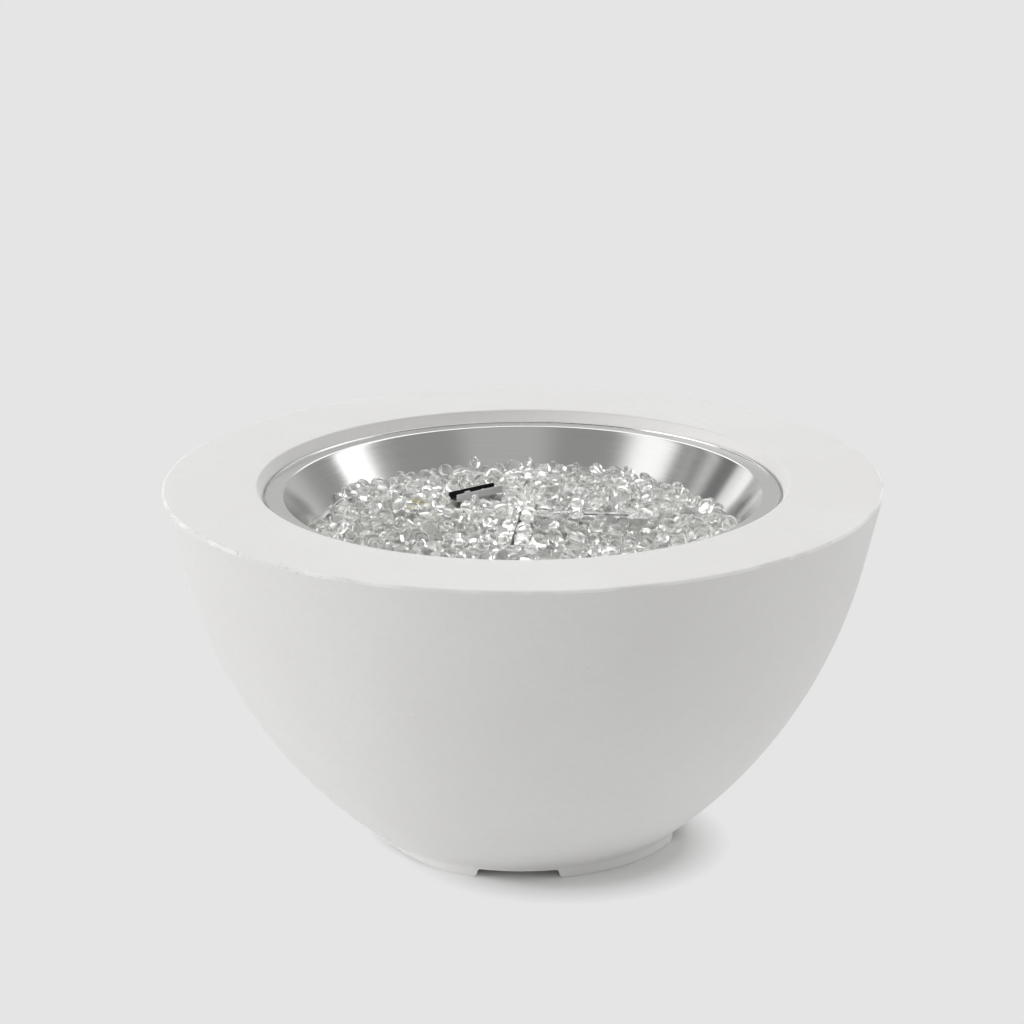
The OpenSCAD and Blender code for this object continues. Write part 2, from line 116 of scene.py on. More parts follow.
def mix_color(nt, fac, a, b, blend="MIX"):
    n = nt.nodes.new("ShaderNodeMix")
    n.data_type = "RGBA"
    n.blend_type = blend
    for sock, v in ((n.inputs[0], fac), (n.inputs[6], a), (n.inputs[7], b)):
        if isinstance(v, bpy.types.NodeSocket):
            nt.links.new(v, sock)
        else:
            sock.default_value = v
    return n.outputs[2]


def make_world():
    """Soft studio light: an even surround, a pale backdrop, a panel overhead and soft boxes to the left and right."""
    w = bpy.data.worlds.new("studio")
    scene.world = w
    w.use_nodes = True
    nt = w.node_tree
    nt.nodes.clear()
    way = node(nt, "ShaderNodeTexCoord").outputs["Generated"]

    def dot(v):
        return node(nt, "ShaderNodeVectorMath", {0: way, 1: v}, operation="DOT_PRODUCT").outputs["Value"]

    def soft_box(az, el, hx, hy, edge):
        az, el = rad(az) + TURN, rad(el)
        c = Vector((math.cos(el) * math.cos(az), math.cos(el) * math.sin(az), math.sin(el)))
        u = Vector((0, 0, 1)).cross(c).normalized()
        v = c.cross(u)
        front = dot(c)
        safe = math_node(nt, "MAXIMUM", front, 0.05)
        mask = None
        for axis, half in ((u, hx), (v, hy)):
            t = math_node(nt, "ABSOLUTE", math_node(nt, "DIVIDE", dot(axis), safe))
            h = math.tan(rad(half))
            m = ramp(nt, t, h - edge, h + edge, 1.0, 0.0)
            mask = m if mask is None else math_node(nt, "MULTIPLY", mask, m)
        return math_node(nt, "MULTIPLY", mask, math_node(nt, "GREATER_THAN", front, 0.05))

    level = 0.41
    total = None
    for box, strength in (((86, 12, 36, 16, 0.28), 0.28), ((90, 51, 31, 24, 0.12), 1.8), ((185.8, 44, 9.4, 14, 0.05), 1.17),
                          ((191, 14, 21, 10, 0.08), 5.35), ((282, 57, 17, 15, 0.12), 0.21), ((17, 33, 7.6, 20, 0.01), 1.6),
                          ((2, 16, 20, 12, 0.1), 1.4), ((149, 24, 19, 16, 0.04), -0.18), ((164, 32, 1.5, 10, 0.02), 0.35),
                          ((152, 27, 3.5, 10, 0.03), 0.6), ((129, 13, 7, 8, 0.03), 0.95)):
        lit = math_node(nt, "MULTIPLY", soft_box(*box), strength)
        total = lit if total is None else math_node(nt, "ADD", total, lit)
    total = math_node(nt, "ADD", total, level)
    studio = node(nt, "ShaderNodeBackground", {"Color": (1.0, 1.0, 1.0, 1.0), "Strength": total})
    plain = node(nt, "ShaderNodeBackground", {"Color": (0.783, 0.783, 0.783, 1.0), "Strength": 1.0})
    seen = node(nt, "ShaderNodeLightPath").outputs["Is Camera Ray"]
    mixed = node(nt, "ShaderNodeMixShader", {0: seen, 1: studio.outputs[0], 2: plain.outputs[0]})
    node(nt, "ShaderNodeOutputWorld", {"Surface": mixed.outputs[0]})


def make_floor():
    bm = bmesh.new()
    bmesh.ops.create_grid(bm, x_segments=8, y_segments=8, size=40.0)
    me = bpy.data.meshes.new("floor")
    bm.to_mesh(me)
    bm.free()
    floor = bpy.data.objects.new("floor", me)
    scene.collection.objects.link(floor)
    m = bpy.data.materials.new("floor")
    m.use_nodes = True
    nt = m.node_tree
    b = nt.nodes["Principled BSDF"]
    place = node(nt, "ShaderNodeTexCoord").outputs["Object"]
    far = node(nt, "ShaderNodeVectorMath", {0: place, 1: (0.0687, -0.0768, 0.0)}, operation="DISTANCE").outputs["Value"]
    fade = math_node(nt, "MULTIPLY", ramp(nt, far, 0.176, 0.25, smooth=False),
                     ramp(nt, node(nt, "ShaderNodeVectorMath", {0: place}, operation="LENGTH").outputs["Value"], 0.20, 0.245))
    nt.links.new(mix_color(nt, fade, (0.80, 0.80, 0.80, 1), (0.0, 0.0, 0.0, 1)), b.inputs["Base Color"])
    b.inputs["Roughness"].default_value = 1.0
    b.inputs["Specular IOR Level"].default_value = 0.0
    b.inputs["Emission Color"].default_value = (0.783, 0.783, 0.783, 1)
    nt.links.new(fade, b.inputs["Emission Strength"])
    me.materials.append(m)


# ------------------------------------------------------------------ mesh tools
def new_object(name, verts, faces):
    me = bpy.data.meshes.new(name)
    me.from_pydata([tuple(v) for v in verts], [], faces)
    me.validate()
    o = bpy.data.objects.new(name, me)
    scene.collection.objects.link(o)
    return o


def fast_mesh(name, verts, tris):
    """A triangle mesh from numpy arrays."""
    me = bpy.data.meshes.new(name)
    me.vertices.add(len(verts))
    me.vertices.foreach_set("co", np.asarray(verts, np.float32).ravel())
    me.loops.add(tris.size)
    me.loops.foreach_set("vertex_index", np.asarray(tris, np.int32).ravel())
    me.polygons.add(len(tris))
    me.polygons.foreach_set("loop_start", np.arange(0, tris.size, 3, dtype=np.int32))
    me.polygons.foreach_set("loop_total", np.full(len(tris), 3, np.int32))
    me.update(calc_edges=True)
    me.validate()
    o = bpy.data.objects.new(name, me)
    scene.collection.objects.link(o)
    return o


def smooth(o, angle=35.0):
    """Smooth shading with sharp edges above an angle, in degrees."""
    me = o.data
    me.polygons.foreach_set("use_smooth", np.ones(len(me.polygons), bool))
    bm = bmesh.new()
    bm.from_mesh(me)
    for e in bm.edges:
        e.smooth = not (len(e.link_faces) == 2 and e.calc_face_angle(0.0) > rad(angle))
    bm.to_mesh(me)
    bm.free()


def lathe(name, profile, n, closed=True):
    """Turns an (r, z) outline in mm about Z at n even angles or at a list of angles. Points on the axis become one vertex."""
    angles = [2 * math.pi * k / n for k in range(n)] if isinstance(n, int) else n
    n = len(angles)
    verts, rings = [], []
    for r, z in profile:
        if r < 1e-6:
            rings.append([len(verts)] * n)
            verts.append((0, 0, z * MM))
        else:
            rings.append(list(range(len(verts), len(verts) + n)))
            verts += [(r * MM * math.cos(a), r * MM * math.sin(a), z * MM) for a in angles]
    faces = []
    m = len(profile)
    for i in range(m if closed else m - 1):
        a, b = rings[i], rings[(i + 1) % m]
        for k in range(n):
            q = [a[k], a[(k + 1) % n], b[(k + 1) % n], b[k]]
            f = [v for j, v in enumerate(q) if v not in q[:j]]
            if len(f) > 2:
                faces.append(f)
    o = new_object(name, verts, faces)
    bm = bmesh.new()
    bm.from_mesh(o.data)
    bmesh.ops.recalc_face_normals(bm, faces=bm.faces)
    bm.to_mesh(o.data)
    bm.free()
    return o


def round_corner(p, q, s, r, n):
    """Points of an arc of radius r in the corner q between the lines q-p and q-s."""
    p, q, s = Vector(p), Vector(q), Vector(s)
    a, b = (p - q).normalized(), (s - q).normalized()
    half = a.angle(b) / 2
    t = r / math.tan(half)
    c = q + (a + b).normalized() * (r / math.sin(half))
    u, v = q + a * t - c, q + b * t - c
    w = u.angle(v)
    return [tuple(c + (math.sin(w * (1 - k / n)) * u + math.sin(w * k / n) * v) / math.sin(w)) for k in range(n + 1)]


def line(p, q, n):
    return [(p[0] + (q[0] - p[0]) * k / n, p[1] + (q[1] - p[1]) * k / n) for k in range(n + 1)]


def outline(corners):
    """A closed outline from (r, z, rounding, pieces of the side that follows)."""
    n = len(corners)
    out = []
    for i, c in enumerate(corners):
        q, p, s = c[:2], corners[i - 1][:2], corners[(i + 1) % n][:2]
        pts = round_corner(p, q, s, c[2], 6) if c[2] > 0 else [q]
        if out and corners[i - 1][3] > 1:
            out += line(out[-1], pts[0], corners[i - 1][3])[1:-1]
        out += pts
    return out


def prism(name, pts, z0, z1, matrix=Matrix.Identity(4)):
    """A closed prism over a flat outline in mm."""
    n = len(pts)
    verts = [matrix @ Vector((x * MM, y * MM, z * MM)) for z in (z0, z1) for x, y in pts]
    faces = [list(range(n))[::-1], list(range(n, 2 * n))]
    faces += [[k, (k + 1) % n, n + (k + 1) % n, n + k] for k in range(n)]
    o = new_object(name, verts, faces)
    bm = bmesh.new()
    bm.from_mesh(o.data)
    bmesh.ops.recalc_face_normals(bm, faces=bm.faces)
    bm.to_mesh(o.data)
    bm.free()
    return o


def round_rect(w, h, r, n=8):
    pts = []
    for cx, cy, a0 in ((w / 2 - r, h / 2 - r, 0), (-w / 2 + r, h / 2 - r, 90), (-w / 2 + r, -h / 2 + r, 180), (w / 2 - r, -h / 2 + r, 270)):
        pts += [(cx + r * math.cos(rad(a0 + 90 * k / n)), cy + r * math.sin(rad(a0 + 90 * k / n))) for k in range(n + 1)]
    return pts


def disc(r, n=32, x=0.0, y=0.0):
    return [(x + r * math.cos(2 * math.pi * k / n), y + r * math.sin(2 * math.pi * k / n)) for k in range(n)]


def cut(o, cutters):
    """Subtracts the cutters from o and removes them."""
    for c in cutters:
        m = o.modifiers.new("cut", "BOOLEAN")
        m.operation = "DIFFERENCE"
        m.solver = "EXACT"
        m.object = c
    bpy.context.view_layer.update()
    done = bpy.data.meshes.new_from_object(o.evaluated_get(bpy.context.evaluated_depsgraph_get()))
    o.modifiers.clear()
    old, o.data = o.data, done
    done.name = o.name
    bpy.data.meshes.remove(old)
    for c in cutters:
        me = c.data
        bpy.data.objects.remove(c)
        bpy.data.meshes.remove(me)


def join(objs):
    """Joins separate closed meshes into the first one."""
    bm = bmesh.new()
    for o in objs:
        bm.from_mesh(o.data)
    bm.to_mesh(objs[0].data)
    bm.free()
    for o in objs[1:]:
        me = o.data
        bpy.data.objects.remove(o)
        bpy.data.meshes.remove(me)
    return objs[0]


def put(o, material, body, stands_for=()):
    o.data.materials.clear()
    o.data.materials.append(material)
    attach(o, body)
    if stands_for:
        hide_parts(*stands_for)


# ------------------------------------------------------------------ materials
def material(name, color, rough, metal=0.0):
    m = bpy.data.materials.new(name)
    m.use_nodes = True
    b = m.node_tree.nodes["Principled BSDF"]
    b.inputs["Base Color"].default_value = (*color, 1.0)
    b.inputs["Roughness"].default_value = rough
    b.inputs["Metallic"].default_value = metal
    return m, m.node_tree, b


def place_of(nt):
    return node(nt, "ShaderNodeTexCoord").outputs["Object"]


def noise(nt, vec, scale, detail=3.0, rough=0.5, distort=0.0):
    return node(nt, "ShaderNodeTexNoise", {"Vector": vec, "Scale": scale, "Detail": detail, "Roughness": rough,
                                           "Distortion": distort}).outputs["Fac"]


def bump(nt, height, strength, distance, after=None):
    n = node(nt, "ShaderNodeBump", {"Height": height, "Strength": strength, "Distance": distance})
    if after is not None:
        nt.links.new(after, n.inputs["Normal"])
    return n.outputs["Normal"]


def concrete_material():
    m, nt, b = material("cast_concrete", (0.76, 0.755, 0.74), 0.85)
    p = place_of(nt)
    cloud = noise(nt, p, 3.2, 4.0, 0.55)
    speck = noise(nt, p, 85.0, 3.0, 0.6)
    grain = noise(nt, p, 900.0, 2.0, 0.6)
    # small air holes: some cells of a fine and of a coarse pattern
    holes = []
    for scale, keep, size in ((95.0, 0.90, 0.16), (230.0, 0.86, 0.2)):
        v = node(nt, "ShaderNodeTexVoronoi", {"Vector": p, "Scale": scale, "Randomness": 1.0})
        pick = node(nt, "ShaderNodeSeparateColor", {0: v.outputs["Color"]})
        on = math_node(nt, "GREATER_THAN", pick.outputs[0], keep)
        wide = ramp(nt, pick.outputs[1], 0.0, 1.0, 0.35 * size, size, smooth=False)
        depth = math_node(nt, "SUBTRACT", 1.0, math_node(nt, "DIVIDE", v.outputs["Distance"], wide), clamp=True)
        holes.append(math_node(nt, "MULTIPLY", depth, on))
    hole = math_node(nt, "MAXIMUM", holes[0], holes[1])
    tone = mix_color(nt, ramp(nt, cloud, 0.3, 0.72), (0.745, 0.738, 0.722, 1), (0.775, 0.772, 0.760, 1))
    tone = mix_color(nt, ramp(nt, speck, 0.35, 0.75, 0.0, 0.35), tone, (0.725, 0.722, 0.71, 1))
    # the holes are darkened in colour: painted shade inside them
    tone = mix_color(nt, math_node(nt, "MULTIPLY", hole, 0.5), tone, (0.42, 0.41, 0.39, 1))
    x = node(nt, "ShaderNodeSeparateXYZ", {0: p})
    from_axis = math_node(nt, "SQRT", math_node(nt, "ADD", math_node(nt, "MULTIPLY", x.outputs[0], x.outputs[0]),
                                                math_node(nt, "MULTIPLY", x.outputs[1], x.outputs[1])))
    # the back part of the opening's inner wall is painted paler: painted light
    painted_light_inner_wall = math_node(nt, "MULTIPLY", ramp(nt, from_axis, 0.3915, 0.3945, 1.0, 0.0), ramp(nt, x.outputs[2], 0.510, 0.516))
    painted_light_inner_wall = math_node(nt, "MULTIPLY", painted_light_inner_wall, ramp(nt, x.outputs[1], 0.10, 0.36))
    tone = mix_color(nt, painted_light_inner_wall, tone, (0.955, 0.94, 0.93, 1))
    # the underside of the foot, in the bowl's shadow, is painted darker: painted shade
    painted_shade_under_foot = math_node(nt, "MULTIPLY", ramp(nt, x.outputs[2], 0.0105, 0.0135, 1.0, 0.0), ramp(nt, from_axis, 0.232, 0.2385, 1.0, 0.0))
    tone = mix_color(nt, math_node(nt, "MULTIPLY", painted_shade_under_foot, 0.8), tone, (0.50, 0.49, 0.47, 1))
    # the rim's outer edge is paler all along it, a painted highlight line, and rubbed paler still in places; it is
    # chipped at the front left, the chips darkened as painted shade
    edge = math_node(nt, "MULTIPLY", ramp(nt, from_axis, 0.5286, 0.5298), ramp(nt, x.outputs[2], 0.5340, 0.5356))
    worn_and_painted_highlight = math_node(nt, "MULTIPLY", edge, ramp(nt, noise(nt, p, 14.0, 3.0), 0.40, 0.58, 0.25, 0.9))
    tone = mix_color(nt, worn_and_painted_highlight, tone, (0.91, 0.905, 0.89, 1))
    near = math_node(nt, "MULTIPLY", ramp(nt, from_axis, 0.5250, 0.5275), ramp(nt, x.outputs[2], 0.5315, 0.5345))
    near = math_node(nt, "MULTIPLY", near, math_node(nt, "MULTIPLY", ramp(nt, x.outputs[0], -0.30, -0.10, 1.0, 0.0),
                                                     ramp(nt, x.outputs[1], -0.30, -0.05, 1.0, 0.0)))
    chip = math_node(nt, "MULTIPLY", near, ramp(nt, noise(nt, p, 190.0, 2.0, 0.6), 0.585, 0.66))
    # the chips are darkened in colour: painted shade inside them
    tone = mix_color(nt, math_node(nt, "MULTIPLY", chip, 0.55), tone, (0.55, 0.54, 0.52, 1))
    hole = math_node(nt, "MAXIMUM", hole, chip)
    nt.links.new(tone, b.inputs["Base Color"])
    nt.links.new(ramp(nt, speck, 0.3, 0.7, 0.78, 0.92), b.inputs["Roughness"])
    b.inputs["Specular IOR Level"].default_value = 0.35
    low = math_node(nt, "MULTIPLY", hole, -1.0)
    n1 = bump(nt, low, 0.6, 0.0012)
    n2 = bump(nt, math_node(nt, "ADD", math_node(nt, "MULTIPLY", grain, 0.5), speck), 0.12, 0.0006, n1)
    nt.links.new(n2, b.inputs["Normal"])
    return m


def ring_coords(nt):
    """(angle about Z, radius, height) with the seam at the front."""
    x = node(nt, "ShaderNodeSeparateXYZ", {0: place_of(nt)})
    ang = math_node(nt, "ARCTAN2", x.outputs[0], x.outputs[1])
    r = math_node(nt, "SQRT", math_node(nt, "ADD", math_node(nt, "MULTIPLY", x.outputs[0], x.outputs[0]),
                                        math_node(nt, "MULTIPLY", x.outputs[1], x.outputs[1])))
    return ang, r, x.outputs[2]


def pan_material():
    m, nt, b = material("brushed_pan", (0.61, 0.61, 0.60), 0.24, 1.0)
    ang, r, z = ring_coords(nt)
    across = math_node(nt, "ADD", r, z)
    vec = node(nt, "ShaderNodeCombineXYZ", {0: math_node(nt, "MULTIPLY", ang, 2.2),
                                            1: math_node(nt, "MULTIPLY", across, 1700.0), 2: 0.0}).outputs[0]
    fine = noise(nt, vec, 1.0, 3.0, 0.6)
    vec2 = node(nt, "ShaderNodeCombineXYZ", {0: math_node(nt, "MULTIPLY", ang, 5.0),
                                             1: math_node(nt, "MULTIPLY", across, 260.0), 2: 4.0}).outputs[0]
    band = noise(nt, vec2, 1.0, 3.0, 0.5)
    smudge = noise(nt, place_of(nt), 9.0, 4.0, 0.6)
    tone = mix_color(nt, ramp(nt, fine, 0.3, 0.7), (0.585, 0.585, 0.577, 1), (0.64, 0.64, 0.632, 1))
    tone = mix_color(nt, ramp(nt, smudge, 0.45, 0.75, 0.0, 0.25), tone, (0.56, 0.555, 0.54, 1))
    # the pan's floor and the foot of its wall are painted paler: painted light that brightens the glass bed above
    tone = mix_color(nt, ramp(nt, z, 0.455, 0.466, 0.75, 0.0), tone, (0.88, 0.88, 0.87, 1))
    nt.links.new(tone, b.inputs["Base Color"])
    nt.links.new(ramp(nt, math_node(nt, "ADD", math_node(nt, "MULTIPLY", fine, 0.5), math_node(nt, "MULTIPLY", band, 0.5)),
                      0.3, 0.7, 0.15, 0.195), b.inputs["Roughness"])
    b.inputs["Anisotropic"].default_value = 0.8
    b.inputs["Anisotropic Rotation"].default_value = 0.25
    nt.links.new(node(nt, "ShaderNodeTangent", direction_type="RADIAL", axis="Z").outputs[0], b.inputs["Tangent"])
    nt.links.new(bump(nt, fine, 0.02, 0.0002), b.inputs["Normal"])
    return m


def gem_material(name="clear_glass", color=(0.997, 0.998, 0.991)):
    m, nt, b = material(name, color, 0.0)
    b.inputs["Transmission Weight"].default_value = 0.955
    b.inputs["IOR"].default_value = 1.47
    # a faint glow: painted light that lifts the glass's darker parts
    b.inputs["Emission Color"].default_value = (0.98, 1.0, 0.95, 1)
    b.inputs["Emission Strength"].default_value = 0.012
    p = place_of(nt)
    pick = node(nt, "ShaderNodeNewGeometry").outputs["Random Per Island"]
    c2 = tuple(x * s for x, s in zip(color, (0.990, 0.994, 0.982)))
    nt.links.new(mix_color(nt, ramp(nt, pick, 0.25, 1.0), (*color, 1), (*c2, 1)), b.inputs["Base Color"])
    nt.links.new(ramp(nt, noise(nt, p, 60.0, 2.0), 0.45, 0.75, 0.0, 0.035), b.inputs["Roughness"])
    nt.links.new(bump(nt, noise(nt, p, 110.0, 1.0), 0.06, 0.0012), b.inputs["Normal"])
    return m


def fill_material():
    """Gems lower down in the bed, made mostly white and diffuse: painted light that brightens the bed above them."""
    m, nt, b = material("whitened_fill_glass", (0.985, 0.99, 0.975), 0.28)
    b.inputs["Transmission Weight"].default_value = 0.25
    b.inputs["IOR"].default_value = 1.48
    p = place_of(nt)
    nt.links.new(mix_color(nt, ramp(nt, noise(nt, p, 45.0, 3.0), 0.35, 0.7), (0.985, 0.988, 0.972, 1), (0.955, 0.962, 0.94, 1)),
                 b.inputs["Base Color"])
    nt.links.new(ramp(nt, noise(nt, p, 80.0, 2.0), 0.35, 0.7, 0.10, 0.24), b.inputs["Roughness"])
    return m


def metal(name, color, rough, grain=(400.0, 400.0, 30.0), spread=0.12, bump_by=0.03):
    m, nt, b = material(name, color, rough, 1.0)
    p = place_of(nt)
    v = node(nt, "ShaderNodeMapping", {"Vector": p, "Scale": grain}).outputs[0]
    n1 = noise(nt, v, 1.0, 4.0, 0.6)
    n2 = noise(nt, p, 35.0, 3.0, 0.6)
    dark = tuple(c * 0.8 for c in color)
    light = tuple(min(1.0, c * 1.08) for c in color)
    tone = mix_color(nt, ramp(nt, n1, 0.3, 0.7), (*dark, 1), (*light, 1))
    tone = mix_color(nt, ramp(nt, n2, 0.5, 0.8, 0.0, 0.35), tone, (*tuple(c * 0.7 for c in color), 1))
    nt.links.new(tone, b.inputs["Base Color"])
    nt.links.new(ramp(nt, n1, 0.3, 0.7, max(0.05, rough - spread), rough + spread), b.inputs["Roughness"])
    nt.links.new(bump(nt, n1, bump_by, 0.0003), b.inputs["Normal"])
    return m


def plastic(name, color, rough, scale=700.0):
    m, nt, b = material(name, color, rough)
    p = place_of(nt)
    n1 = noise(nt, p, scale, 2.0, 0.6)
    n2 = noise(nt, p, 25.0, 3.0, 0.6)
    light = tuple(min(1.0, c * 1.35 + 0.008) for c in color)
    nt.links.new(mix_color(nt, ramp(nt, n2, 0.35, 0.7), (*color, 1), (*light, 1)), b.inputs["Base Color"])
    nt.links.new(ramp(nt, n1, 0.3, 0.7, rough - 0.08, rough + 0.08), b.inputs["Roughness"])
    nt.links.new(bump(nt, n1, 0.15, 0.0004), b.inputs["Normal"])
    return m


def burner_material():
    """Satin steel, painted black inside the arms and along the slots: painted shade of the slot gaps."""
    m = metal("burner_steel", (0.72, 0.72, 0.70), 0.36)
    nt = m.node_tree
    b = nt.nodes["Principled BSDF"]
    x = node(nt, "ShaderNodeSeparateXYZ", {0: place_of(nt)})
    ax, ay = math_node(nt, "ABSOLUTE", x.outputs[0]), math_node(nt, "ABSOLUTE", x.outputs[1])

    def within(a, b, half=0.0137, reach=0.184):
        return math_node(nt, "MULTIPLY", math_node(nt, "LESS_THAN", a, half), math_node(nt, "LESS_THAN", b, reach))

    # black inside the arms, below their top: painted shade seen through the slots
    tall = math_node(nt, "MULTIPLY", math_node(nt, "GREATER_THAN", x.outputs[2], 0.4630), math_node(nt, "LESS_THAN", x.outputs[2], 0.4879))
    blackened = math_node(nt, "MULTIPLY", math_node(nt, "MAXIMUM", within(ay, ax), within(ax, ay)), tall)
    # black along each slot on the arms' top: painted shade of the slot's gap
    slot_line_shade = math_node(nt, "MAXIMUM", within(ay, ax, 0.0036, 0.166), within(ax, ay, 0.0036, 0.166))
    blackened = math_node(nt, "MAXIMUM", blackened, math_node(nt, "MULTIPLY", slot_line_shade, math_node(nt, "GREATER_THAN", x.outputs[2], 0.4875)))
    old = b.inputs["Base Color"].links[0].from_socket
    nt.links.new(mix_color(nt, blackened, old, (0.012, 0.012, 0.012, 1)), b.inputs["Base Color"])
    nt.links.new(math_node(nt, "SUBTRACT", 1.0, blackened), b.inputs["Metallic"])
    return m


def guard_material():
    m, nt, b = material("guard_steel", (0.62, 0.62, 0.63), 0.3, 1.0)
    p = place_of(nt)
    local = node(nt, "ShaderNodeVectorMath", {0: p, 1: (-0.085, 0.134, 0.0)}, operation="SUBTRACT").outputs[0]
    local = node(nt, "ShaderNodeVectorRotate", {"Vector": local, "Angle": rad(-43.0)}, rotation_type="Z_AXIS").outputs[0]
    x = node(nt, "ShaderNodeSeparateXYZ", {0: local})
    # the inside of the channel, above its floor, is black
    inside = math_node(nt, "LESS_THAN", math_node(nt, "ABSOLUTE", x.outputs[1]), 0.0100)
    high = math_node(nt, "GREATER_THAN", x.outputs[2], 0.4741)
    blackened = math_node(nt, "MULTIPLY", inside, high)
    v = node(nt, "ShaderNodeMapping", {"Vector": local, "Scale": (40.0, 700.0, 700.0)}).outputs[0]
    n1 = noise(nt, v, 1.0, 4.0)
    # the steel is painted near-white and made only slightly metallic: painted light, as if the plate caught light from
    # above
    tone = mix_color(nt, ramp(nt, n1, 0.3, 0.7), (0.90, 0.90, 0.91, 1), (0.98, 0.98, 0.985, 1))
    tone = mix_color(nt, blackened, tone, (0.012, 0.012, 0.013, 1))
    nt.links.new(tone, b.inputs["Base Color"])
    nt.links.new(ramp(nt, blackened, 0.0, 1.0, 0.15, 0.0), b.inputs["Metallic"])
    nt.links.new(math_node(nt, "ADD", math_node(nt, "MULTIPLY", blackened, 0.5), ramp(nt, n1, 0.3, 0.7, 0.42, 0.54)), b.inputs["Roughness"])
    nt.links.new(bump(nt, n1, 0.04, 0.0003), b.inputs["Normal"])
    return m


# ------------------------------------------------------------------ the concrete bowl
CURVE_R, BEND_Z, LEAN, EDGE_R = 746.0, 429.0, 13.7, 4.5
RIM_T = EDGE_R / math.tan(rad((90 - LEAN) / 2))
CORNER = 532.95 + RIM_T - EDGE_R
BEND_R = CORNER - (540 - BEND_Z) * math.tan(rad(LEAN))
CX, CZ = BEND_R - CURVE_R * math.cos(rad(LEAN)), BEND_Z + CURVE_R * math.sin(rad(LEAN))


def wall_r(z, r=CURVE_R):
    return CX + math.sqrt(r * r - (z - CZ) ** 2)


THETA = math.asin((CZ - 300.0) / CURVE_R)
PANEL = Matrix.Translation((0, wall_r(300.0) * MM, 0.3)) @ Matrix.Rotation(-(math.pi / 2 + THETA), 4, "X")


def bowl_outline():
    """Section of the bowl in mm, from the foot's outer bottom edge up the outside, over the rim and down inside."""
    foot_r = wall_r(16.0)
    out = [(foot_r - 1.5, 0.0), (foot_r - 0.4, 0.4), (foot_r, 1.5)]
    # soft fillet where the foot runs into the curve
    fil = 16.0
    c_r = foot_r + fil
    # circle of radius fil outside the wall, tangent to the foot and to the arc
    h = math.sqrt((CURVE_R + fil) ** 2 - (c_r - CX) ** 2)
    c_z = CZ - h
    end = math.atan2(CZ - c_z, CX - c_r)
    out += line((foot_r, 1.5), (foot_r, c_z), 3)[1:]
    a0, a1 = math.pi, end
    out += [(c_r + fil * math.cos(a0 + (a1 - a0) * k / 8), c_z + fil * math.sin(a0 + (a1 - a0) * k / 8)) for k in range(1, 9)]
    z0 = out[-1][1]
    s0, s1 = math.asin((z0 - CZ) / CURVE_R), -rad(LEAN)
    out += [(CX + CURVE_R * math.cos(s0 + (s1 - s0) * k / 60), CZ + CURVE_R * math.sin(s0 + (s1 - s0) * k / 60)) for k in range(1, 61)]
    e_r = CORNER - RIM_T
    top = (e_r + EDGE_R * math.cos(rad(LEAN)), 540 - EDGE_R - EDGE_R * math.sin(rad(LEAN)))
    out += line(out[-1], top, 12)[1:]
    out += [(e_r + EDGE_R * math.cos(a), 540 - EDGE_R + EDGE_R * math.sin(a)) for a in
            [rad(-LEAN + (90 + LEAN) * k / 10) for k in range(1, 11)]]
    lip = round_corner((500.0, 540.0), (393.5, 540.0), (385.0, 521.0), 3.0, 6)
    out += line(out[-1], lip[0], 12)[1:-1] + lip
    out += line(lip[-1], (385.0, 521.0), 5)[1:] + [(385.0, 515.0), (381.6, 515.0), (381.6, 521.0)]
    out += [(372.0, 521.0), (362.6, 521.0), (362.0, 520.4), (362.0, 505.0), (362.0, 490.0)]
    in_r = CURVE_R - 26.0
    in_z, in_x = CZ - in_r * math.sin(rad(LEAN)), CX + in_r * math.cos(rad(LEAN))
    in_top = in_x + (490 - in_z) * math.tan(rad(LEAN))
    out += line((362.0, 490.0), (in_top, 490.0), 5)[1:]
    out += line((in_top, 490.0), (in_x, in_z), 3)[1:]
    s0, s1 = -rad(LEAN), math.asin((46.0 - CZ) / in_r)
    out += [(CX + in_r * math.cos(s0 + (s1 - s0) * k / 24), CZ + in_r * math.sin(s0 + (s1 - s0) * k / 24)) for k in range(1, 25)]
    out += line(out[-1], (100.0, 46.0), 5)[1:]
    out += [(100.0, 16.0)] + line((100.0, 16.0), (foot_r - 45, 16.0), 4)[1:] + [(foot_r - 45, 1.0), (foot_r - 44, 0.0)]
    return out


NOTCHES = ((-86.7, 60.5), (0.0, 66.5), (93.3, 62.0))


def foot_rise(x, y):
    """Height of the foot's underside over the floor in mm, with soft-edged notches."""
    rise = 0.0
    for a, half in NOTCHES:
        along = x * math.cos(rad(a)) + y * math.sin(rad(a))
        t = abs(y * math.cos(rad(a)) - x * math.sin(rad(a))) - half
        if along > 0 and t < 7.0:
            if t < -6.0:
                h = 13.0
            elif t < 0.0:
                h = 7.0 + math.sqrt(36.0 - (t + 6.0) ** 2)
            else:
                h = 7.0 - math.sqrt(49.0 - (7.0 - t) ** 2)
            rise = max(rise, h)
    az = math.degrees(math.atan2(y, x))
    # the wide notch on the left: a worn slope at its front end, a short one at its rear end
    for lo, hi, along in ((-108.0, -136.5, -az), (132.5, 134.5, az)):
        t = min(1.0, max(0.0, (along - abs(lo)) / (abs(hi) - abs(lo))))
        rise = max(rise, 13.0 * t * t * (3 - 2 * t) if hi > 0 else 13.0 * t ** 1.35)
    return rise


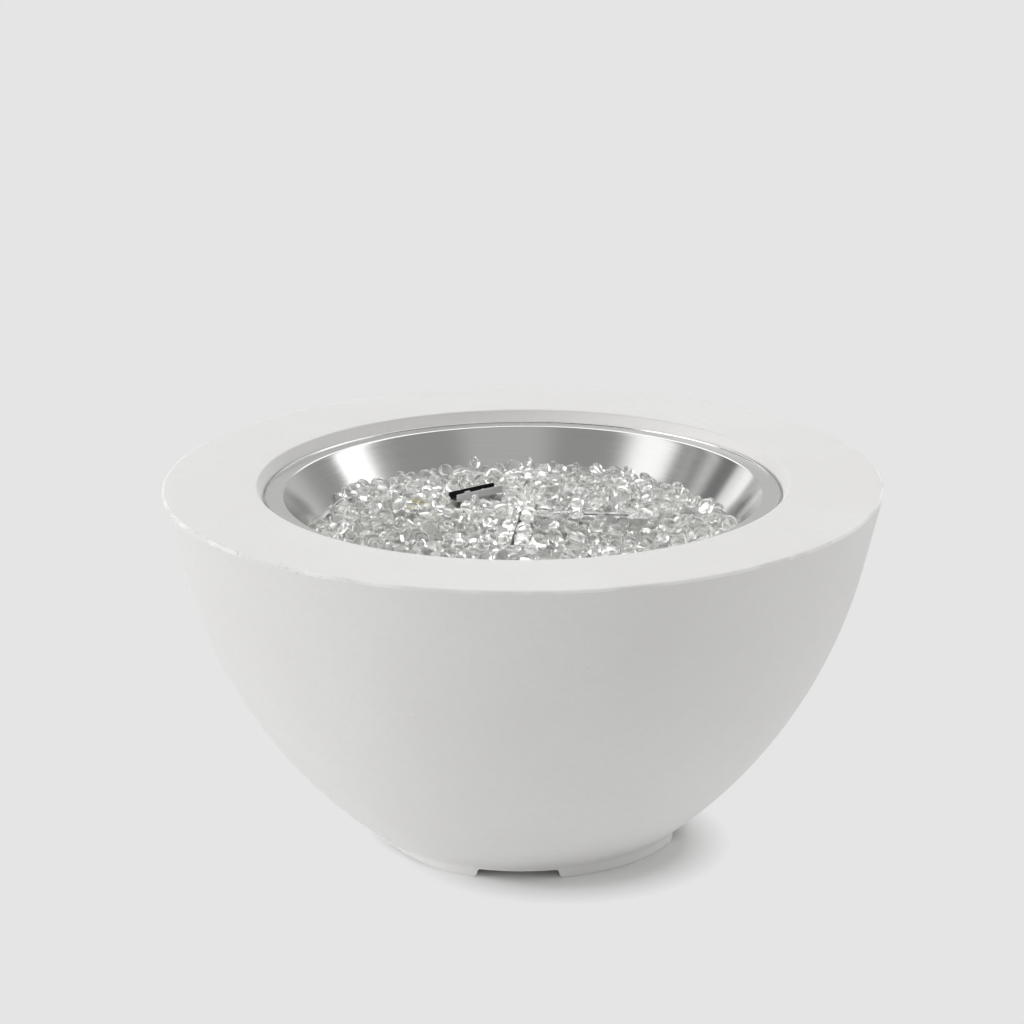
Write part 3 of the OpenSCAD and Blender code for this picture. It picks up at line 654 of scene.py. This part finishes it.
def make_bowl(mat):
    angles = {round(k * 1.0, 3) for k in range(360)}
    for edge in [a + d * math.degrees(math.asin(h / 239.2)) for a, h in NOTCHES for d in (-1, 1)] + [133.5]:
        angles |= {round((edge + 0.2 * k) % 360, 3) for k in range(-9, 10)}
    angles = sorted(angles)
    angles = [a for k, a in enumerate(angles) if k == 0 or a - angles[k - 1] > 0.09]
    o = lathe("concrete_shell", bowl_outline(), [rad(a) for a in angles])
    for v in o.data.vertices:
        if v.co.z < 0.01599:
            rise = foot_rise(v.co.x / MM, v.co.y / MM) if math.hypot(v.co.x, v.co.y) > 0.15 else 0.0
            v.co.z = (rise + (v.co.z / MM) * (16.0 - rise) / 16.0) * MM
    cutters = []
    cutters.append(prism("pocket", round_rect(154, 88, 7), -9.5, 60, PANEL))
    cutters.append(prism("window", round_rect(110, 60, 8), -70, 0, PANEL))
    for x in (-68, 68):
        for y in (-35, 35):
            cutters.append(prism("insert_hole", disc(3.55, 24, x, y), -23.5, -5, PANEL))
    cut(o, cutters)
    smooth(o, 32)
    put(o, mat, "bowl", ["concrete_bowl"])
    return o


# ------------------------------------------------------------------ the burner pan
def pan_in(z):
    return 355.5 - (523.0 - z) * 0.75


def make_pan(mat):
    """Spun sheet pan: flat floor, sloped wall, flange and a rolled edge."""
    t = 1.5
    top = [(10.8, 440.0)] + line((60.0, 440.0), (280.0, 440.0), 8)
    top += round_corner((200.0, 440.0), (pan_in(440.0), 440.0), (355.5, 523.0), 5.0, 6)
    wall = round_corner((pan_in(440.0), 440.0), (355.5, 523.0), (375.0, 523.0), 3.2, 8)
    top += line(top[-1], wall[0], 18)[1:-1] + wall
    top += line(top[-1], (377.0, 523.0), 4)[1:]
    bead = [(379.4 + 1.6 * math.cos(a), 522.9 + 1.6 * math.sin(a)) for a in
            [rad(176.4 - (176.4 + 119.0) * k / 16) for k in range(17)]]
    top += bead
    low_wall = round_corner((372.0, 523 - t), (pan_in(521.5) + 1.875, 523 - t), (pan_in(438.5) + 1.875, 438.5), 1.7, 5)
    low = low_wall + round_corner((pan_in(521.5) + 1.875, 523 - t), (pan_in(438.5) + 1.875, 438.5), (200.0, 438.5), 6.5, 5)
    low += [(60.0, 438.5), (10.8, 438.5)]
    o = lathe("spun_pan", top + low, 288)
    g = Matrix.Translation((-0.085, 0.134, 0)) @ Matrix.Rotation(rad(43), 4, "Z")
    cutters = [prism("hole", disc(3.5, 24, 255 * math.cos(rad(a + 15)), 255 * math.sin(rad(a + 15))), 430, 445) for a in range(0, 360, 60)]
    cutters += [prism("hole", disc(r, 24, x, 0), 430, 445, g) for r, x in ((4.3, -20), (2.7, 14), (2.1, -34), (2.1, 34))]
    cut(o, cutters)
    smooth(o, 40)
    put(o, mat, "burner", ["burner_pan"])
    return o


# ------------------------------------------------------------------ glass gems
ARM_TOP = 488.0
GUARD_TURN = rad(43)


def in_guard(x, y):
    """Position along and across the guard, in mm."""
    ca, sa = math.cos(GUARD_TURN), math.sin(GUARD_TURN)
    return (x + 85) * ca + (y - 134) * sa, -(x + 85) * sa + (y - 134) * ca


def before_guard(x, y):
    """How far a point lies in front of the guard's plate, as seen from the front, and where along the plate. Millimetres."""
    lx, ly = in_guard(x, y)
    s = (-11.0 - ly) / 0.793
    return s, lx + 0.609 * s


def soft(t):
    t = np.clip(t, 0.0, 1.0)
    return t * t * (3 - 2 * t)


def bed_top(x, y):
    """Height up to which the gems are heaped: a low mound with a hollow in front of the guard."""
    r = np.hypot(x, y)
    az = np.degrees(np.arctan2(y, x))
    wall = 471.5 + 9.0 * np.exp(-((az - 151.0) / 15.0) ** 2) - 2.5 * np.exp(-((az - 20.0) / 25.0) ** 2)
    wall = wall + 15.0 * np.exp(-((az + 90.0) / 26.0) ** 2)
    h = 500.0 + (wall - 500.0) * soft((r - 110.0) / 208.0)
    # one layer on top of the burner's left, rear and front arms
    over = np.maximum(soft((27 - np.abs(y)) / 9) * soft((196 - np.abs(x)) / 10) * soft((12 - x) / 10),
                      soft((27 - np.abs(x)) / 9) * soft((200 - np.abs(y)) / 10))
    h = h + (np.maximum(h, 502.0) - h) * over
    # low in front of the right arm, whose slot stays in sight
    low = soft((x - 14) / 12) * soft((156 - x) / 12) * soft((4 - y) / 4) * soft((y + 66) / 12)
    h = h + (np.minimum(h, 484.0 + 0.3 * np.maximum(0.0, -y)) - h) * low
    # heaped over the end of the front arm
    end = soft((40 - np.abs(x)) / 16) * soft((-172 - y) / 10) * soft((y + 250) / 20)
    h = h + (np.maximum(h, 499.0) - h) * end
    s, along = before_guard(x, y)
    dip = soft((60 - np.abs(along)) / 10) * soft((s + 6) / 6) * soft((104 - s) / 16)
    return h + (np.minimum(h, 469.5 + 0.29 * np.maximum(s, 0.0)) - h) * dip


def settle_gems(seed, count, steps):
    """Packs rounded gems into the pan round the burner and the guard. Millimetres."""
    rng = np.random.default_rng(seed)
    # gems that lie on top of the burner come first: flat ones, in two rows on each arm
    rows = [(-t, k * 8.5) for t in range(24, 190, 19) for k in (-1, 1)] + [(k * 9.0, t) for t in range(28, 190, 19) for k in (-1, 1)]
    rows += [(k * 11.0, -t) for t in range(26, 200, 18) for k in (-1, 1)] + [(162, -8), (161, 9), (180, 8), (181, -9)]
    rows += [(-9, 11), (-10, -10), (9, 13), (-13, -206), (11, -207), (0, -222), (-24, -216), (23, -218)]
    rows += [(t, -26) for t in range(30, 160, 20)] + [(t, -46) for t in range(40, 170, 21)]
    first = len(rows)
    a = np.clip(rng.normal(11.9, 1.9, count), 8.0, 17.0)
    a[:first] = np.clip(a[:first], 8.0, 11.5)
    size = np.stack([a, a * rng.uniform(0.75, 0.97, count), a * rng.uniform(0.52, 0.70, count)], 1)
    q = rng.normal(size=(count, 4)) * np.array([1.0, 0.36, 0.36, 1.0])
    q[:first, 1:3] *= 0.3
    q /= np.linalg.norm(q, axis=1)[:, None]
    w, x, y, z = q.T
    rot = np.stack([np.stack([1 - 2 * (y * y + z * z), 2 * (x * y - z * w), 2 * (x * z + y * w)], 1),
                    np.stack([2 * (x * y + z * w), 1 - 2 * (x * x + z * z), 2 * (y * z - x * w)], 1),
                    np.stack([2 * (x * z - y * w), 2 * (y * z + x * w), 1 - 2 * (x * x + y * y)], 1)], 1)
    shape = np.einsum("nij,nj,nkj->nik", rot, size ** 2, rot)

    def reach(u, idx=slice(None)):
        """How far each gem reaches along the unit vectors u."""
        return np.sqrt(np.einsum("ni,nij,nj->n", u, shape[idx], u))

    ext = np.stack([np.sqrt(shape[:, i, i]) for i in range(3)], 1)
    ca, sa = math.cos(GUARD_TURN), math.sin(GUARD_TURN)
    gx, gy = np.array([ca, sa, 0.0]), np.array([-sa, ca, 0.0])
    ext_gx = np.sqrt(np.einsum("i,nij,j->n", gx, shape, gx))
    ext_gy = np.sqrt(np.einsum("i,nij,j->n", gy, shape, gy))
    # start spread through the space that the bed takes up
    trial = rng.random((count * 6, 3))
    r0, a0 = 322 * np.sqrt(trial[:, 0]), trial[:, 1] * 2 * math.pi
    tx, ty = r0 * np.cos(a0), r0 * np.sin(a0)
    tz = 444 + trial[:, 2] * 58
    free = (tz < bed_top(tx, ty) - 3) & (r0 < 355.5 - (523 - tz) * 0.75 - 9)
    free &= ~(((np.abs(ty) < 18) & (np.abs(tx) < 190) | (np.abs(tx) < 18) & (np.abs(ty) < 190)) & (tz < 491))
    glx, gly = in_guard(tx, ty)
    free &= ~((np.abs(glx) < 48) & (np.abs(gly) < 16))
    pos = np.stack([tx, ty, tz], 1)[free][:count]
    pos[:first, :2] = np.array(rows) + rng.normal(size=(first, 2)) * 1.5
    pos[:first, 2] = ARM_TOP + 1.0 + ext[:first, 2]
    # boxes that gems stay out of: (centre x, centre y, half x, half y, top)
    boxes = [(0, 0, 187, 15.4, ARM_TOP + 0.3), (0, 0, 15.4, 187, ARM_TOP + 0.3),
             (82, 1.0, 66, 14.0, 540), (0, -100, 1.3, 86, 540)]
    pairs = None
    for step in range(steps):
        done = step / steps
        if step % 5 == 0:
            # neighbours from a grid of cells
            cell = np.floor((pos - pos.min(0)) / 33.0).astype(np.int64)
            dims = cell.max(0) + 3
            key = ((cell[:, 0] + 1) * dims[1] + cell[:, 1] + 1) * dims[2] + cell[:, 2] + 1
            order = np.argsort(key, kind="stable")
            skey = key[order]
            found = []
            for dx in (-1, 0, 1):
                for dy in (-1, 0, 1):
                    for dz in (-1, 0, 1):
                        other = key + (dx * dims[1] + dy) * dims[2] + dz
                        lo, hi = np.searchsorted(skey, other, "left"), np.searchsorted(skey, other, "right")
                        num = hi - lo
                        if num.sum() == 0:
                            continue
                        i = np.repeat(np.arange(count), num)
                        off = np.arange(num.sum()) - np.repeat(np.cumsum(num) - num, num)
                        j = order[np.repeat(lo, num) + off]
                        ok = i < j
                        found.append(np.stack([i[ok], j[ok]], 1))
            pairs = np.concatenate(found)
            gap = np.linalg.norm(pos[pairs[:, 0]] - pos[pairs[:, 1]], axis=1)
            pairs = pairs[gap < size[pairs[:, 0], 0] + size[pairs[:, 1], 0] + 3.0]
        pos[:, 2] -= 0.55 if done < 0.5 else 0.3 if done < 0.8 else 0.06
        i, j = pairs.T
        d = pos[j] - pos[i]
        dist = np.linalg.norm(d, axis=1) + 1e-9
        u = d / dist[:, None]
        over = reach(u, i) + reach(u, j) - dist
        hit = over > 0
        i, j, u, over = i[hit], j[hit], u[hit], over[hit]
        push = u * (0.5 * over)[:, None]
        move = np.stack([np.bincount(j, push[:, k], count) - np.bincount(i, push[:, k], count) for k in range(3)], 1)
        num = np.bincount(i, minlength=count) + np.bincount(j, minlength=count)
        move /= np.maximum(1, num * 0.5)[:, None]
        # gems that lie on the burner are held by friction
        move[:first, :2] *= 0.2
        pos += move
        # heaped no higher than the bed's top
        if done < 0.9:
            high = pos[:, 2] + ext[:, 2] - bed_top(pos[:, 0], pos[:, 1])
            pos[:, 2] -= np.clip(high * 0.3, 0.0, 1.2)
        # pan wall
        r = np.hypot(pos[:, 0], pos[:, 1]) + 1e-9
        n = np.stack([-0.8 * pos[:, 0] / r, -0.8 * pos[:, 1] / r, np.full(count, 0.6)], 1)
        room = (355.5 - (523 - pos[:, 2]) * 0.75 - r) * 0.8 - reach(n) - 0.4
        pos += n * np.maximum(0, -room)[:, None]
        # burner and keep-clear strips
        for bx, by, hx, hy, top in boxes:
            px = np.abs(pos[:, 0] - bx) - hx - ext[:, 0]
            py = np.abs(pos[:, 1] - by) - hy - ext[:, 1]
            pz = pos[:, 2] - top - ext[:, 2]
            inn = (px < 0) & (py < 0) & (pz < 0)
            if not inn.any():
                continue
            best = np.argmax(np.stack([px, py, pz], 1), 1)
            sx = np.where(pos[:, 0] >= bx, 1.0, -1.0)
            sy = np.where(pos[:, 1] >= by, 1.0, -1.0)
            pos[:, 0] += np.where(inn & (best == 0), -px * sx, 0)
            pos[:, 1] += np.where(inn & (best == 1), -py * sy, 0)
            pos[:, 2] += np.where(inn & (best == 2), -pz, 0)
        # guard
        lx, ly = in_guard(pos[:, 0], pos[:, 1])
        px, py = np.abs(lx) - 45.5 - ext_gx, np.abs(ly) - 12.5 - ext_gy
        inn = (px < 0) & (py < 0)
        useb = inn & (py >= px)
        usea = inn & (px > py)
        pos[:, :2] += np.where(useb, -py * np.where(ly >= 0, 1, -1), 0)[:, None] * gy[:2]
        pos[:, :2] += np.where(usea, -px * np.where(lx >= 0, 1, -1), 0)[:, None] * gx[:2]
        # the hollow in front of the guard
        s, along = before_guard(pos[:, 0], pos[:, 1])
        deep = np.minimum(pos[:, 2] + ext[:, 2] - 470.5 - 0.29 * np.maximum(s, 0.0), 47 + 0.7 * ext_gx - np.abs(along))
        inn = (deep > 0) & (s > -4) & (s < 96)
        pos[:, 2] -= np.where(inn, np.minimum(deep * 0.5, 1.5), 0)
        pos[:, :2] -= np.where(inn, np.minimum(deep * 0.12, 0.5), 0)[:, None] * gy[:2]
        # pan floor
        pos[:, 2] = np.maximum(pos[:, 2], 440.4 + ext[:, 2])
    return pos, rot, size, float(over.mean()) if len(over) else 0.0


def gem_forms(rng, level, count):
    """Smooth pebble forms of unit size, every fourth one with soft flats."""
    bm = bmesh.new()
    bmesh.ops.create_icosphere(bm, subdivisions=level, radius=1.0)
    bm.verts.ensure_lookup_table()
    v = np.array([x.co for x in bm.verts])
    f = np.array([[x.index for x in g.verts] for g in bm.faces], np.int32)
    bm.free()
    v /= np.linalg.norm(v, axis=1)[:, None]
    forms = []
    for number in range(count):
        p = np.sign(v) * np.abs(v) ** rng.uniform(0.84, 1.0)
        k = np.ones(len(v))
        for _ in range(4):
            d = rng.normal(size=3)
            d /= np.linalg.norm(d)
            t = v @ d
            k += rng.uniform(-0.05, 0.05) * t ** 3 + rng.uniform(-0.05, 0.05) * t ** 2
        if number % 4 == 0:
            cuts = rng.normal(size=(7, 3))
            cuts /= np.linalg.norm(cuts, axis=1)[:, None]
            t = np.maximum(v @ cuts.T, 0.0) / rng.uniform(0.80, 0.9, 7)
            k /= (1 + (t ** 14).sum(1)) ** (1 / 14)
        p = p * k[:, None]
        p -= p.mean(0)
        forms.append(p / np.abs(p).max(0))
    return forms, f


def make_gems(mat, fill_mat, odd_mat):
    count = 2080
    pos, rot, size, left = settle_gems(11, count, 260)
    s, along = before_guard(pos[:, 0], pos[:, 1])
    tall = pos[:, 2] + np.sqrt(np.einsum("nij,nj->ni", rot ** 2, size ** 2)[:, 2])
    keep = ~((tall > 466.0 + 0.29 * np.maximum(s, 0.0)) & (s > -6) & (s < 110) & (np.abs(along) < 50))
    # none stay high on the wall at the left
    az = np.abs(np.degrees(np.arctan2(pos[:, 1], pos[:, 0])))
    keep &= ~((tall > 478.0) & (az > 158) & (np.hypot(pos[:, 0], pos[:, 1]) > 278))
    pos, rot, size = pos[keep], rot[keep], size[keep]
    count = len(pos)
    rng = np.random.default_rng(5)
    fine, fine_f = gem_forms(rng, 4, 14)
    plain, plain_f = gem_forms(rng, 3, 14)
    # gems with nothing above them are the ones seen
    top = pos[:, 2] + size[:, 2]
    seen = np.ones(count, bool)
    for i in range(count):
        d = np.hypot(pos[:, 0] - pos[i, 0], pos[:, 1] - pos[i, 1])
        seen[i] = not ((d < 8.5) & (pos[:, 2] > pos[i, 2] + 7.0)).any()
    pick = rng.integers(0, 14, count)
    # one gem of another colour lies to the left of the middle
    odd = int(np.argmax(top - np.where(np.hypot(pos[:, 0] + 163, pos[:, 1] - 18) < 15.0, 0.0, 1000.0)))
    seen[odd] = True
    order = np.argsort(np.arctan2(pos[:, 1], pos[:, 0]), kind="stable")

    def split(wanted, tris):
        """Groups of gems, each under the face limit of one piece."""
        ids = [i for i in order if wanted[i] and i != odd]
        per = 190000 // tris
        return [ids[k:k + per] for k in range(0, len(ids), per)]

    def build(name, members, material):
        verts, tris, base = [], [], 0
        for i in members:
            p, f = (fine[pick[i]], fine_f) if seen[i] else (plain[pick[i]], plain_f)
            verts.append((p * (size[i] * 0.97)) @ rot[i].T + pos[i])
            tris.append(f + base)
            base += len(p)
        o = fast_mesh(name, np.concatenate(verts) * MM, np.concatenate(tris))
        o.data.polygons.foreach_set("use_smooth", np.ones(len(o.data.polygons), bool))
        put(o, material, "burner", ["fire_glass"])

    chunks = split(seen, 1280)
    for k, members in enumerate(chunks):
        build(f"glass_gems_{k + 1}", members, mat)
    for k, members in enumerate(split(~seen, 320)):
        build(f"glass_fill_{k + 1}", members, fill_mat)
    build("glass_gem_olive", [odd], odd_mat)
    print("gems", count, "seen", int(seen.sum()), "pieces", len(chunks), "overlap", round(left, 2), "top",
          np.percentile(top[seen], [5, 25, 50, 75, 95, 100]).round(1).tolist())


# ------------------------------------------------------------------ lines and springs
VALVE = PANEL @ Matrix.Translation((0.034, 0, 0))
SPARK = PANEL @ Matrix.Translation((-0.038, 0, 0))


def on_panel(x, z, y=0.0):
    """A point of the panel's own frame, in mm."""
    return tuple(PANEL @ Vector((x * MM, y * MM, z * MM)) / MM)


def by_guard(x, z):
    return (-85 + x * math.cos(GUARD_TURN), 134 + x * math.sin(GUARD_TURN), z)


def through(points, step):
    """A smooth curve through route points, resampled at an even step. Millimetres."""
    p = [Vector(q) for q in points]
    fine = []
    for i in range(len(p) - 1):
        a, b, c, d = p[max(0, i - 1)], p[i], p[i + 1], p[min(len(p) - 1, i + 2)]
        for k in range(24):
            t = k / 24
            fine.append(0.5 * (2 * b + (c - a) * t + (2 * a - 5 * b + 4 * c - d) * t * t + (3 * b - a - 3 * c + d) * t ** 3))
    fine.append(p[-1])
    dist = [0.0]
    for a, b in zip(fine, fine[1:]):
        dist.append(dist[-1] + (b - a).length)
    n = max(2, round(dist[-1] / step))
    out, k = [], 0
    for i in range(n + 1):
        want = dist[-1] * i / n
        while k < len(dist) - 2 and dist[k + 1] < want:
            k += 1
        t = (want - dist[k]) / max(1e-9, dist[k + 1] - dist[k])
        out.append(fine[k].lerp(fine[k + 1], min(1.0, t)))
    return out, dist[-1]


def tube(name, path, radius, sides, cap=0.0):
    """A closed tube along a path in mm. radius takes the share of the way along; cap rounds the ends."""
    n = len(path)
    t0 = (path[1] - path[0]).normalized()
    a = t0.cross(Vector((0, 0, 1)) if abs(t0.z) < 0.8 else Vector((1, 0, 0))).normalized()
    verts = []
    for i, c in enumerate(path):
        t = (path[min(n - 1, i + 1)] - path[max(0, i - 1)]).normalized()
        a = (a - a.dot(t) * t).normalized()
        b = t.cross(a)
        r = radius(i / (n - 1))
        if i in (0, n - 1):
            r -= cap
        for k in range(sides):
            w = 2 * math.pi * k / sides
            verts.append((c + r * (math.cos(w) * a + math.sin(w) * b)) * MM)
    faces = [[i * sides + k, i * sides + (k + 1) % sides, (i + 1) * sides + (k + 1) % sides, (i + 1) * sides + k]
             for i in range(n - 1) for k in range(sides)]
    faces += [list(range(sides))[::-1], list(range((n - 1) * sides, n * sides))]
    o = new_object(name, verts, faces)
    smooth(o, 50)
    return o


def make_lines(steel, lead, copper_lead):
    route = [on_panel(34, z) for z in (-92.6, -99, -106, -113)]
    route += [(32, 310, 354), (26, 250, 326), (17, 180, 268), (9, 110, 214), (3, 50, 190), (0, 12, 208), (0, 0, 250), (0, 0, 296),
              (0, 0, 321.5)]
    path, long = through(route, 0.7)

    def rings(t):
        """Corrugated between plain ends."""
        at = t * long
        deep = min(1.0, max(0.0, (min(at, long - at) - 14.0) / 3.0))
        return 6.25 + deep * 0.6 * math.cos(2 * math.pi * at / 4.6)

    put(tube("corrugated_gas_line", path, rings, 24), steel, "bowl", ["flex_gas_line"])
    route = [on_panel(-38, -72.2), on_panel(-38, -90), (-48, 340, 338), (-75, 270, 322), (-102, 200, 318), (-106, 150, 340)]
    route += [by_guard(-20, z) for z in (376, 390, 402)]
    path, _ = through(route, 1.8)
    put(tube("spark_lead", path, lambda t: 2.0, 16), lead, "bowl", ["ignition_lead"])
    route = [on_panel(34 - x, -40) for x in (22.3, 26, 30)]
    route += [(-6, 412, 322), (-10, 385, 332), (-16, 330, 340), (-36, 250, 330), (-64, 190, 330)]
    route += [by_guard(14, z) for z in (372, 388, 400)]
    path, _ = through(route, 1.5)
    put(tube("probe_lead", path, lambda t: 1.5, 14), copper_lead, "bowl", ["thermocouple_lead"])


def make_spring(name, place, r, wire, z0, z1, turns, mat, body, stands_for):
    """A round-wire spring whose end turns lie closer, flattened by its joint."""
    n = turns * 40
    path = []
    for i in range(n + 1):
        t = i / n
        e = t + 0.35 * math.sin(2 * math.pi * t) / (2 * math.pi) * -1.0
        path.append(Vector((r * math.cos(2 * math.pi * turns * t), r * math.sin(2 * math.pi * turns * t), z0 + (z1 - z0) * e)))
    o = tube(name, path, lambda t: wire, 12, wire * 0.2)
    o.data.transform(place)
    put(o, mat, body, [stands_for])
    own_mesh(o)


# ------------------------------------------------------------------ build
make_camera()
make_world()
make_floor()

concrete = concrete_material()
make_bowl(concrete)
make_pan(pan_material())
make_gems(gem_material(), fill_material(), gem_material("olive_glass", (0.66, 0.62, 0.36)))

burner_steel = burner_material()
guard_steel = guard_material()
screw_steel = metal("screw_steel", (0.60, 0.60, 0.59), 0.3)
panel_steel = metal("panel_steel", (0.60, 0.60, 0.59), 0.3, grain=(20.0, 900.0, 900.0))
spring_steel = metal("spring_steel", (0.5, 0.5, 0.5), 0.25)
line_steel = metal("line_steel", (0.58, 0.58, 0.55), 0.34)
brass = metal("brass", (0.70, 0.52, 0.24), 0.28)
copper = metal("copper", (0.68, 0.36, 0.22), 0.32)
cast_metal = metal("cast_valve", (0.55, 0.54, 0.51), 0.42, grain=(160.0, 160.0, 160.0))
black_plastic = plastic("black_plastic", (0.012, 0.012, 0.012), 0.45)
fibre = plastic("gasket_fibre", (0.11, 0.11, 0.105), 0.8, 300.0)
ceramic = plastic("white_ceramic", (0.78, 0.75, 0.69), 0.3, 120.0)
silicone = plastic("lead_silicone", (0.35, 0.035, 0.02), 0.45)
case_paint = plastic("battery_case", (0.04, 0.04, 0.045), 0.35)

make_lines(line_steel, silicone, copper)
make_spring("knob_return_spring", VALVE, 2.3, 0.35, -45.6, -34.4, 5, spring_steel, "valve_core", "stem_spring")
make_spring("button_return_spring", SPARK, 7.2, 0.5, -15.4, -12.6, 2, spring_steel, "bowl", "igniter_spring")

by_slot = {"burner_steel": burner_steel, "guard_steel": guard_steel, "panel_steel": panel_steel, "screw_steel": screw_steel,
           "spring_steel": spring_steel, "line_steel": line_steel, "brass": brass, "copper": copper,
           "valve_metal": cast_metal, "black_plastic": black_plastic, "gasket_fibre": fibre, "white_ceramic": ceramic,
           "lead_silicone": silicone, "battery_case": case_paint}
for part in frame["record"]["subparts"]:
    o = nodes[part["node"]]
    look = screw_steel if part["node"] == "thermocouple_probe" else by_slot.get(part["material_slot"])
    if look and not o.hide_render:
        o.data.materials.clear()
        o.data.materials.append(look)
        bev = o.modifiers.new("edge", "BEVEL")
        bev.width = 0.0005 if part["node"] == "electrode_guard" else 0.00025
        bev.segments = 2
        bev.limit_method = "ANGLE"
        bev.angle_limit = rad(35)

scene.view_settings.view_transform = "Standard"
scene.view_settings.look = "None"
scene.cycles.max_bounces = 64
scene.cycles.transmission_bounces = 64
scene.cycles.glossy_bounces = 40
scene.cycles.diffuse_bounces = 16
scene.cycles.sample_clamp_indirect = 12.0

bpy.context.view_layer.update()
